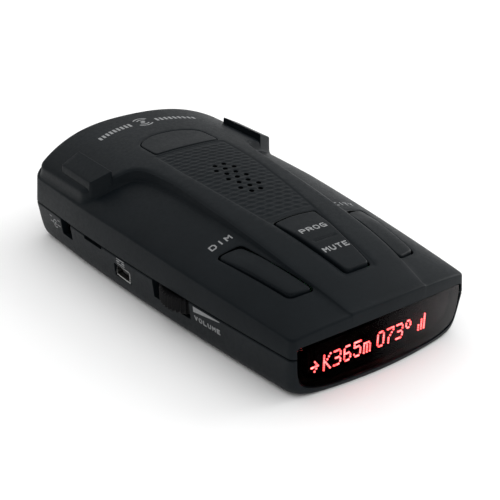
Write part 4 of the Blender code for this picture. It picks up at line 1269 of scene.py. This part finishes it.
@dataclass
class BottomShell:
    """The lower case with its rounded foot, thumbwheel slot, socket openings and screw wells."""

    foot: tuple[tuple[float, float], ...] = (
        (4.6, 0.0),
        (3.5, 0.12),
        (2.6, 0.5),
        (1.95, 1.0),
        (1.5, 1.7),
        (1.15, 2.8),
        (0.9, 4.0),
        (0.62, 6.0),
        (0.3, 8.8),
        (0.02, 11.1),
        (0.14, 11.4),
    )
    wall: float = 2.0
    hollow_top: float = 15.0
    wheel_behind: float = 45.3
    wheel_middle: float = 11.1
    wheel_slot: Triple = (12.0, 15.8, 10.0)
    socket_behind: float = 68.2
    socket_size: Triple = (8.0, 8.0, 4.1)
    jack_ahead: float = 20.2
    jack_size: Triple = (8.0, 6.2, 5.2)
    vent_ahead: float = 36.2
    vent_size: Triple = (8.0, 9.5, 1.8)
    well_radii: tuple[float, float] = (2.75, 2.4)
    well_depth: float = 5.8
    label_gap: float = 0.6
    label_depth: float = 1.2

    def build(self) -> bpy.types.Object:
        """Make the lower case."""
        outer = lofted([level(FORM.outline(0.0, foot), z) for foot, z in self.foot])
        shell = finished("lower_case", outer, Finishes.CASE, CASE_BODY)
        levels = [(foot, z + self.wall) for foot, z in self.foot[:-2]] + [(0.0, self.hollow_top)]
        inner = lofted([level(FORM.outline(self.wall, foot), z) for foot, z in levels])
        sides = [opening.cutter() for opening in self.openings()]
        carve(shell, [bare("hollow", inner), *sides, *self.underside_cutters(), Window().cutter(0.3)])
        smooth(shell, 28.0)
        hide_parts("bottom_case")
        return shell

    def openings(self) -> tuple[Opening, ...]:
        """The openings in the left wall, with the sockets' heights taken from their CAD nodes."""
        socket_z, jack_z = (
            (low.z + high.z) / 2 / MM for low, high in (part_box("usb_socket"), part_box("dc_jack"))
        )
        return (
            Opening(FORM.behind(self.wheel_behind), self.wheel_middle, self.wheel_slot, 0.25),
            Opening(FORM.behind(self.socket_behind), socket_z, self.socket_size, 0.5),
            Opening(FORM.ahead(self.jack_ahead), jack_z, self.jack_size, 0.3),
            Opening(FORM.ahead(self.vent_ahead), FORM.split - FORM.seam, self.vent_size, 0.2),
        )

    def underside_cutters(self) -> list[bpy.types.Object]:
        """Solids for the screw wells and the label recess."""
        cutters = []
        low_radius, high_radius = self.well_radii
        for name in CASE_SCREWS:
            low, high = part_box(name)
            centre = (low + high) / 2
            builder = bmesh.new()
            bmesh.ops.create_cone(
                builder,
                cap_ends=True,
                segments=40,
                radius1=low_radius * MM,
                radius2=high_radius * MM,
                depth=self.well_depth * MM,
                matrix=Matrix.Translation((centre.x, centre.y, 0.0)),
            )
            cutters.append(bare("well", builder))
        low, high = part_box("serial_label")
        size = (high - low) / MM
        recess = (size.x + self.label_gap, size.y + self.label_gap, self.label_depth)
        cutters.append(cutter_block((0.0, 0.0, 0.0), recess, 0.4))
        return cutters


# ---------------------------------------------------------------- keys


@dataclass
class Cap:
    """A key cap: a skin over a key's outline with rounded edges and closed sides."""

    ring: Array
    surface: Callable[[Array], Array]
    edge_round: float = 0.45
    depth: float = 2.4
    spacing: float = 0.7
    guide_steps: tuple[float, ...] = (0.05, 0.14, 0.28, 0.46)

    def build(self, name: str, body: str, node: str) -> bpy.types.Object:
        """Make the cap in place of a CAD node.

        Args:
            name: The piece's name.
            body: The body that it moves with.
            node: The CAD node that it stands for.

        Returns:
            The new object.
        """

        def place(plan: Array) -> Array:
            fall = edge_fall(depth_within(plan, self.ring), self.edge_round)
            return np.column_stack([plan, self.surface(plan) - fall])

        guides = [drawn_in(self.ring, step) for step in self.guide_steps]
        builder = Skin(self.ring, [], guides, [], self.spacing).mesh(place)
        drop_edges(builder, lambda co: co - Vector((0.0, 0.0, self.depth * MM / 2)), levels=2)
        bmesh.ops.holes_fill(builder, edges=[edge for edge in builder.edges if edge.is_boundary])
        cap = finished(name, builder, Finishes.KEY, body)
        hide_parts(node)
        return cap


@dataclass
class Keys:
    """The four keys on the top: two side keys, the two-way key and the release tab."""

    proud: float = 0.6
    back_drop: float = 0.6
    inner_drop: float = 0.35
    latch_lift: float = 0.15
    groove_at: float = 22.8
    groove_half: float = 3.8
    groove_width: float = 0.5
    groove_depth: float = 0.5

    def rise(self, y: Array) -> Array:
        """How far a key stands proud, most at its display end."""
        share = eased(y, FORM.behind(26.0), FORM.behind(35.5))
        return self.proud - self.back_drop * share

    def side_surface(self, plan: Array) -> Array:
        """Top of a side key, sunk a little along the spine."""
        x, y = np.abs(plan[:, 0]), plan[:, 1]
        front, _, _, back = SHAPES.side_key
        inner = np.interp(y, [FORM.behind(front[1]), FORM.behind(back[1])], [front[0], back[0]])
        sunk = self.inner_drop * (1 - eased(x - inner, 0.0, 5.0))
        return FORM.deck(x, y) + self.rise(y) - sunk

    def rocker_surface(self, plan: Array) -> Array:
        """Top of the two-way key with the groove between its halves."""
        x, y = plan[:, 0], plan[:, 1]
        away = np.abs(y - FORM.behind(self.groove_at))
        groove = np.clip(1 - away / self.groove_width, 0.0, 1.0) ** 2
        ends = 1 - eased(np.abs(x), self.groove_half - 0.4, self.groove_half)
        return FORM.raised(x, y) - 0.1 + self.rise(y) - self.groove_depth * groove * ends

    def latch_surface(self, plan: Array) -> Array:
        """Top of the release tab, flush with the plateau at its back and standing up at its front."""
        front = FORM.ahead(SHAPES.latch[0])
        lift = self.latch_lift * (1 - eased(plan[:, 1], front, front + 8.0))
        return FORM.raised(plan[:, 0], plan[:, 1]) + lift - 0.02

    def build(self) -> None:
        """Make the keys."""
        for side, key in ((-1, "dim"), (1, "city")):
            cap = Cap(SHAPES.side_ring(side, 0.0), self.side_surface)
            cap.build(key + "_key_cap", key + "_button", key + "_button")
        rocker = Cap(SHAPES.rocker_ring(0.0), self.rocker_surface, spacing=0.5)
        rocker.build("two_way_key_cap", "prog_mute_key", "prog_mute_key")
        latch = Cap(SHAPES.latch_ring(0.0), self.latch_surface, edge_round=0.3, depth=1.6)
        latch.build("release_tab", "release_latch", "release_latch")


# ---------------------------------------------------------------- thumbwheel


@dataclass
class Thumbwheel:
    """The ribbed volume wheel."""

    ribs: int = 44
    per_rib: int = 6
    rib_depth: float = 0.45
    chamfer: float = 0.4
    bore: float = 1.9
    hub: float = 3.4
    recess: float = 0.35
    slope: float = 0.2
    recess_end: float = 2.2
    rim_width: float = 1.9
    rib_zone: float = 1.0
    rib_shape: float = 0.7

    def build(self) -> bpy.types.Object:
        """Make the wheel on the CAD wheel's axis."""
        low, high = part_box("volume_wheel")
        centre = (low + high) / 2
        radius = (high.y - low.y) / 2
        bottom, top = low.z / MM, high.z / MM
        rib = radius / MM
        half = [
            (self.bore, bottom),
            (self.hub, bottom),
            (self.hub + self.slope, bottom + self.recess),
            (rib - self.recess_end, bottom + self.recess),
            (rib - self.rim_width, bottom),
            (rib - self.chamfer, bottom),
            (rib, bottom + self.chamfer),
        ]
        sections = half + [(reach, bottom + top - z) for reach, z in half[::-1]]
        count = self.ribs * self.per_rib
        angles = 2 * math.pi * np.arange(count) / count
        wave = (0.5 - 0.5 * np.cos(self.ribs * angles)) ** self.rib_shape
        rings = []
        for reach, z in sections:
            cut = self.rib_depth * wave if reach > rib - self.rib_zone else 0.0
            ring = np.column_stack([(reach - cut) * np.cos(angles), (reach - cut) * np.sin(angles)])
            rings.append(level(ring, z))
        builder = lofted(rings, ring_shaped=True)
        bmesh.ops.translate(builder, vec=Vector((centre.x, centre.y, 0.0)), verts=builder.verts)
        wheel = finished("volume_thumbwheel", builder, Finishes.WHEEL, "volume_wheel")
        smooth(wheel)
        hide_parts("volume_wheel")
        return wheel


# ---------------------------------------------------------------- print


class Letter(Enum):
    """Strokes of each capital: runs of column and row marks on a grid of five by five, parted by slashes."""

    C = "44 14 03 01 10 40"
    D = "00 04 34 43 41 30 00"
    E = "44 04 00 40/02 32"
    G = "44 14 03 01 10 40 42 22"
    I = "20 24"
    L = "04 00 40"
    M = "00 04 22 44 40"
    O = "10 01 03 14 34 43 41 30 10"
    P = "00 04 34 43 42 32 02"
    R = "00 04 34 43 42 32 02/22 40"
    T = "04 44/24 20"
    U = "04 01 10 30 41 44"
    V = "04 20 44"
    Y = "04 22 44/22 20"


class Side(Enum):
    """Which surface a print lies on."""

    DECK = "deck"
    ROCKER = "rocker"
    PLATEAU = "plateau"
    LEFT = "left"


@dataclass(frozen=True)
class Word:
    """A printed function word: its letters' height and whole length, and where it lies."""

    text: str
    height: float
    length: float
    centre: tuple[float, float]
    side: Side
    body: str


@dataclass
class Print:
    """Pad print laid on the surface as a thin film."""

    film: float = 0.03
    lift: float = 0.012
    longest: float = 0.7
    stroke: float = 0.4
    letter_gap: float = 0.2
    line: float = 0.3
    dash: float = 0.5
    wedge_tip: float = 0.25
    power_ring: float = 1.25
    wave_radii: tuple[float, float] = (1.9, 3.1)
    ticks: int = 9
    tick_start: float = 5.0
    tick_pitch: float = 1.5
    tick_bow: float = 0.011
    tick_half: float = 1.0
    tick_taper: float = 0.03
    tick_width: float = 0.85

    def letters(self, words: str, height: float, width: float) -> bmesh.types.BMesh:
        """Flat square-cut capitals centred on the origin, in millimetres.

        Args:
            words: The function word.
            height: The height of a letter.
            width: The length of the whole word.

        Returns:
            A flat bmesh.
        """
        cell = width / (len(words) - self.letter_gap)
        reach = cell * (1 - self.letter_gap) - self.stroke
        builder = bmesh.new()
        for index, letter in enumerate(words):
            start = index * cell - width / 2 + self.stroke / 2
            for line in Letter[letter].value.split("/"):
                points = [
                    (start + int(mark[0]) * reach / 4, (int(mark[1]) / 4 - 0.5) * (height - self.stroke))
                    for mark in line.split()
                ]
                for first, second in zip(points, points[1:]):
                    self.bar(builder, first, second, self.stroke)
        return builder

    def lay(
        self, name: str, builder: bmesh.types.BMesh, centre: tuple[float, float], side: Side, body: str
    ) -> None:
        """Lay a flat drawing on a surface.

        Args:
            name: The piece's name.
            builder: The flat drawing in millimetres.
            centre: Where its middle goes, X and Y, or Y and Z on the side wall.
            side: The surface.
            body: The body that it moves with.
        """
        bmesh.ops.triangulate(builder, faces=builder.faces)
        for _ in range(4):
            long = [edge for edge in builder.edges if edge.calc_length() > self.longest]
            if not long:
                break
            bmesh.ops.subdivide_edges(builder, edges=long, cuts=1)
            bmesh.ops.triangulate(builder, faces=builder.faces)
        flat = np.array([tuple(vertex.co)[:2] for vertex in builder.verts])
        placed = self.wrap(flat, centre, side)
        for vertex, point in zip(builder.verts, placed):
            vertex.co = Vector(point) * MM
        obj = finished(name, builder, Finishes.PRINT, body)
        face_out(obj, Vector((-1.0, 0.0, 0.0)) if side is Side.LEFT else Vector((0.0, 0.0, 1.0)))
        thicken(obj, self.film)

    def wrap(self, flat: Array, centre: tuple[float, float], side: Side) -> Array:
        """Points of a flat drawing laid on a surface, in millimetres."""
        rise = 0.4 * self.film if side is Side.PLATEAU else self.film + self.lift
        if side is Side.LEFT:
            y = centre[0] - flat[:, 0]
            z = centre[1] + flat[:, 1]
            return np.column_stack([-(FORM.half_width(y) - FORM.foot(z) + rise), y, z])
        x, y = centre[0] + flat[:, 0], centre[1] + flat[:, 1]
        if side is Side.DECK:
            z = FORM.deck(x, y)
        elif side is Side.ROCKER:
            z = Keys().rocker_surface(np.column_stack([x, y]))
        else:
            z = FORM.raised(x, y)
        return np.column_stack([x, y, z + rise])

    def words(self) -> tuple[Word, ...]:
        """The function words, with their letters' height, their length and their place."""
        wheel, key = FORM.behind(30.6), "prog_mute_key"
        return (
            Word("DIM", 2.0, 6.7, (-21.0, FORM.behind(39.4)), Side.DECK, CASE_BODY),
            Word("CITY", 2.0, 7.2, (21.2, FORM.behind(39.4)), Side.DECK, CASE_BODY),
            Word("PROG", 1.95, 8.6, (0.0, FORM.behind(27.7)), Side.ROCKER, key),
            Word("MUTE", 1.95, 8.2, (0.0, FORM.behind(18.6)), Side.ROCKER, key),
            Word("VOLUME", 1.5, 10.2, (wheel, 7.6), Side.LEFT, CASE_BODY),
        )

    def build(self) -> None:
        """Lay every print."""
        for word in self.words():
            letters = self.letters(word.text, word.height, word.length)
            self.lay("print_" + word.text.lower(), letters, word.centre, word.side, word.body)
        left = (
            ("print_wedge", self.wedge(10.4, 1.7), (FORM.behind(30.6), 10.1)),
            ("print_socket", self.fork(3.6, 1.5), (FORM.behind(68.4), 10.3)),
            ("print_power", self.polarity(6.2, 3.6), (FORM.ahead(13.0), 8.2)),
        )
        for name, drawing, centre in left:
            self.lay(name, drawing, centre, Side.LEFT, CASE_BODY)
        self.lay("print_waves", self.waves(), (0.0, FORM.ahead(8.0)), Side.PLATEAU, CASE_BODY)

    def wedge(self, width: float, height: float) -> bmesh.types.BMesh:
        """A rising wedge, full at the wheel's end."""
        builder = bmesh.new()
        end, top = width / 2, height / 2
        corners = [(-end, top), (-end, -top), (end, top - self.wedge_tip), (end, top)]
        builder.faces.new([builder.verts.new((x, y, 0.0)) for x, y in corners])
        return builder

    def bar(
        self, builder: bmesh.types.BMesh, start: tuple[float, float], end: tuple[float, float], width: float
    ) -> None:
        """Add a straight bar between two points."""
        run = Vector((end[0] - start[0], end[1] - start[1], 0.0))
        length = run.length + 0.6 * width
        turn = Matrix.Rotation(math.atan2(run.y, run.x), 4, "Z")
        middle = Matrix.Translation(((start[0] + end[0]) / 2, (start[1] + end[1]) / 2, 0.0))
        size = Matrix.Diagonal((length, width, 1.0, 1.0))
        bmesh.ops.create_grid(builder, x_segments=1, y_segments=1, size=0.5, matrix=middle @ turn @ size)

    def arc(self, builder: bmesh.types.BMesh, radius: float, width: float, low: float, high: float) -> None:
        """Add a flat arc about the origin between two angles in degrees."""
        steps = max(6, int(abs(high - low) / 8))
        angles = [math.radians(low + (high - low) * step / steps) for step in range(steps + 1)]
        inner, outer = (
            [builder.verts.new((reach * math.cos(a), reach * math.sin(a), 0)) for a in angles]
            for reach in (radius - width / 2, radius + width / 2)
        )
        for index in range(steps):
            builder.faces.new((inner[index], outer[index], outer[index + 1], inner[index + 1]))

    def fork(self, width: float, height: float) -> bmesh.types.BMesh:
        """Two thin bars with a pair of dashes between them, for the data socket."""
        builder = bmesh.new()
        for y in (height / 2, -height / 2):
            self.bar(builder, (-width / 2, y), (width / 2, y), self.line)
        for side in (-1, 1):
            self.bar(builder, (side * width / 2, 0.0), (side * width / 6, 0.0), self.dash)
        return builder

    def polarity(self, width: float, height: float) -> bmesh.types.BMesh:
        """A centre-positive power mark: a ring and a dot with a bar to each side and two short bars above."""
        builder = bmesh.new()
        ring, end, top = self.power_ring, width / 2, height / 2
        self.arc(builder, ring, 0.35, 40, 320)
        self.arc(builder, ring / 5, 0.5, 0, 352)
        self.bar(builder, (ring, 0.0), (end, 0.0), self.line)
        self.bar(builder, (-end, 0.0), (-ring - 0.15, 0.0), self.line)
        for side in (-1, 1):
            self.bar(builder, (side * (end - 1.2), top), (side * end, top), self.line)
        return builder

    def waves(self) -> bmesh.types.BMesh:
        """Plain signal arcs with a graded row of ticks on each side."""
        builder = bmesh.new()
        self.arc(builder, 0.45, 0.7, 0, 350)
        for radius in self.wave_radii:
            for middle in (90, 270):
                self.arc(builder, radius, 0.5, middle - 50, middle + 50)
        for side in (-1, 1):
            for step in range(self.ticks):
                x = side * (self.tick_start + self.tick_pitch * step)
                drop = -self.tick_bow * x * x
                half = self.tick_half - self.tick_taper * step
                self.bar(builder, (x, drop - half), (x, drop + half), self.tick_width)
        return builder


# ---------------------------------------------------------------- fasteners


@dataclass
class CrossHeadScrew:
    """A pan-head case screw with a cross recess."""

    node: str
    slot_length: float = 2.5
    slot_width: float = 0.6
    slot_depth: float = 0.9
    head_height: float = 1.5
    shank: float = 1.1
    tip: float = 0.8
    dome: tuple[tuple[float, float], ...] = ((0.0, 0.0), (0.7, 0.06), (0.93, 0.3), (1.0, 0.7))

    def build(self) -> bpy.types.Object:
        """Make the screw on the CAD screw's axis."""
        low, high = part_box(self.node)
        x, y = (low.x + high.x) / 2 / MM, (low.y + high.y) / 2 / MM
        head = (high.x - low.x) / 2 / MM
        base, top = low.z / MM, high.z / MM
        shoulder = base + self.head_height
        profile = [(head * share, base + rise) for share, rise in self.dome]
        profile += [(head, shoulder), (self.shank, shoulder), (self.shank, top - self.tip), (0.0, top)]
        builder = bmesh.new()
        line = [builder.verts.new((radius * MM, 0.0, z * MM)) for radius, z in profile]
        edges = [builder.edges.new(pair) for pair in zip(line, line[1:])]
        bmesh.ops.spin(
            builder,
            geom=[*line, *edges],
            cent=(0.0, 0.0, 0.0),
            axis=(0.0, 0.0, 1.0),
            angle=2 * math.pi,
            steps=32,
            use_merge=True,
        )
        bmesh.ops.remove_doubles(builder, verts=builder.verts, dist=1e-6)
        bmesh.ops.translate(builder, vec=(x * MM, y * MM, 0.0), verts=builder.verts)
        screw = finished(self.node + "_cross", builder, Finishes.STEEL, CASE_BODY)
        sizes = ((self.slot_length, self.slot_width), (self.slot_width, self.slot_length))
        carve(screw, [cutter_block((x, y, base), (*size, 2 * self.slot_depth), 0.12) for size in sizes])
        smooth(screw)
        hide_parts(self.node)
        return screw


# ---------------------------------------------------------------- carried over


@dataclass(frozen=True)
class CarriedOver:
    """CAD nodes whose shape is right and that only take a finish."""

    groups: tuple[tuple[Finishes, str], ...] = (
        (Finishes.LASER, "laser_window"),
        (Finishes.FACE, "display_module"),
        (Finishes.BOARD, "main_board key_board display_board"),
        (Finishes.RESIN, "display_header processor_chip radar_chip voltage_regulator rocker_cradle"),
        (Finishes.RESIN, "dim_switch city_switch mute_switch prog_switch laser_sensor usb_tongue dc_jack"),
        (Finishes.TIN, "usb_socket volume_potentiometer mixer_shield gps_receiver capacitor_1 capacitor_2"),
        (Finishes.TIN, "speaker_frame"),
        (Finishes.ZINC, "horn_antenna"),
        (Finishes.STEEL, "rocker_pin latch_pin speaker_magnet board_screw_front board_screw_back"),
        (Finishes.BRASS, "dc_jack_pin key_board_post_front_left key_board_post_front_right"),
        (Finishes.BRASS, "key_board_post_back_left key_board_post_back_right"),
        (Finishes.CERAMIC, "gps_antenna"),
        (Finishes.PAPER, "speaker_cone"),
        (Finishes.KEY, "dim_plunger city_plunger"),
        (Finishes.FILM, "serial_label"),
    )

    def dress(self) -> None:
        """Give each node its finish."""
        for finish, names in self.groups:
            for name in names.split():
                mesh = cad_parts[name].data
                mesh.materials.clear()
                mesh.materials.append(material(finish))


# ---------------------------------------------------------------- studio


@dataclass
class Studio:
    """The camera, the soft lights and the pale floor."""

    place: tuple[float, float, float] = (-0.1555, -0.2107, 0.1387)
    azimuth: float = -37.227
    elevation: float = 26.619
    roll: float = 0.654
    lens: float = 72.65
    sky: float = 1.05
    ceiling: float = 0.55
    sky_lean: tuple[float, float, float] = (0.6, 0.1, 0.8)
    sky_range: tuple[float, float, float, float] = (-0.2, 0.9, 0.4, 1.4)
    sensor: float = 36.0
    near: float = 0.005
    aim: Triple = (0.0, 0.0, 0.01)
    lights: tuple[tuple[str, Triple, float, float], ...] = (
        ("key_light", (0.85, -0.15, 0.4), 0.6, 3.5),
        ("back_light", (-0.5, 0.8, 0.9), 0.8, 0.8),
    )
    floor_half: float = 3.0

    def camera(self) -> None:
        """Set the camera."""
        data = bpy.data.cameras.new("camera")
        data.lens = self.lens
        data.sensor_width = self.sensor
        data.clip_start = self.near
        obj = linked("camera", data)
        turn, rise, roll = (math.radians(angle) for angle in (self.azimuth, self.elevation, self.roll))
        back = Vector((math.sin(turn) * math.cos(rise), -math.cos(turn) * math.cos(rise), math.sin(rise)))
        right = Vector((math.cos(turn), math.sin(turn), 0.0))
        up = back.cross(right)
        level_right = math.cos(roll) * right + math.sin(roll) * up
        upright = math.cos(roll) * up - math.sin(roll) * right
        pose = Matrix((level_right, upright, back)).transposed().to_4x4()
        pose.translation = Vector(self.place)
        obj.matrix_world = pose
        bpy.context.scene.camera = obj

    def light(self, name: str, place: Triple, size: float, power: float) -> None:
        """Add a square soft light that faces the detector."""
        data = bpy.data.lights.new(name, "AREA")
        data.size = size
        data.energy = power
        at = Vector(place)
        turn = (at - Vector(self.aim)).to_track_quat("Z", "Y").to_matrix().to_4x4()
        linked(name, data).matrix_world = Matrix.Translation(at) @ turn

    def shade_sky(self, tree: bpy.types.NodeTree, shade: bpy.types.Node) -> None:
        """Make the surround brighter up and to the right, and dimmer where it is mirrored.

        Args:
            tree: The world's node tree.
            shade: Its background node.
        """
        where = tree.nodes.new("ShaderNodeTexCoord")
        lean = tree.nodes.new("ShaderNodeVectorMath")
        lean.operation = "DOT_PRODUCT"
        lean.inputs[1].default_value = self.sky_lean
        side = tree.nodes.new("ShaderNodeMapRange")
        for name, value in zip(("From Min", "From Max", "To Min", "To Max"), self.sky_range):
            side.inputs[name].default_value = value
        path = tree.nodes.new("ShaderNodeLightPath")
        dim = tree.nodes.new("ShaderNodeMapRange")
        dim.inputs["To Min"].default_value = self.sky
        dim.inputs["To Max"].default_value = self.ceiling
        both = tree.nodes.new("ShaderNodeMath")
        both.operation = "MULTIPLY"
        tree.links.new(where.outputs["Generated"], lean.inputs[0])
        tree.links.new(lean.outputs["Value"], side.inputs["Value"])
        tree.links.new(path.outputs["Is Glossy Ray"], dim.inputs["Value"])
        tree.links.new(side.outputs["Result"], both.inputs[0])
        tree.links.new(dim.outputs["Result"], both.inputs[1])
        tree.links.new(both.outputs["Value"], shade.inputs["Strength"])

    def build(self) -> None:
        """Set up the whole studio."""
        self.camera()
        for name, place, size, power in self.lights:
            self.light(name, place, size, power)
        world = bpy.data.worlds.new("studio")
        world.use_nodes = True
        shade = world.node_tree.nodes["Background"]
        shade.inputs["Color"].default_value = (1.0, 1.0, 1.0, 1.0)
        self.shade_sky(world.node_tree, shade)
        bpy.context.scene.world = world
        bpy.context.scene.view_settings.view_transform = "Standard"
        builder = bmesh.new()
        bmesh.ops.create_grid(builder, x_segments=8, y_segments=8, size=self.floor_half)
        floor = bare("floor", builder)
        floor.data.materials.append(material(Finishes.FLOOR))


def main() -> None:
    """Build every piece in order."""
    logging.basicConfig(level=logging.INFO, format="%(name)s %(message)s")
    steps: list[tuple[str, Callable[[], object]]] = [
        ("studio", Studio().build),
        ("upper case", TopShell().build),
        ("lower case", BottomShell().build),
        ("display window", Window().build),
        ("display face", Reading().face),
        ("display reading", Reading().build),
        ("keys", Keys().build),
        ("thumbwheel", Thumbwheel().build),
        ("print", Print().build),
        ("carried-over nodes", CarriedOver().dress),
    ]
    steps += [(node, CrossHeadScrew(node).build) for node in CASE_SCREWS]
    for name, make in steps:
        make()


if __name__ == "__main__":
    main()
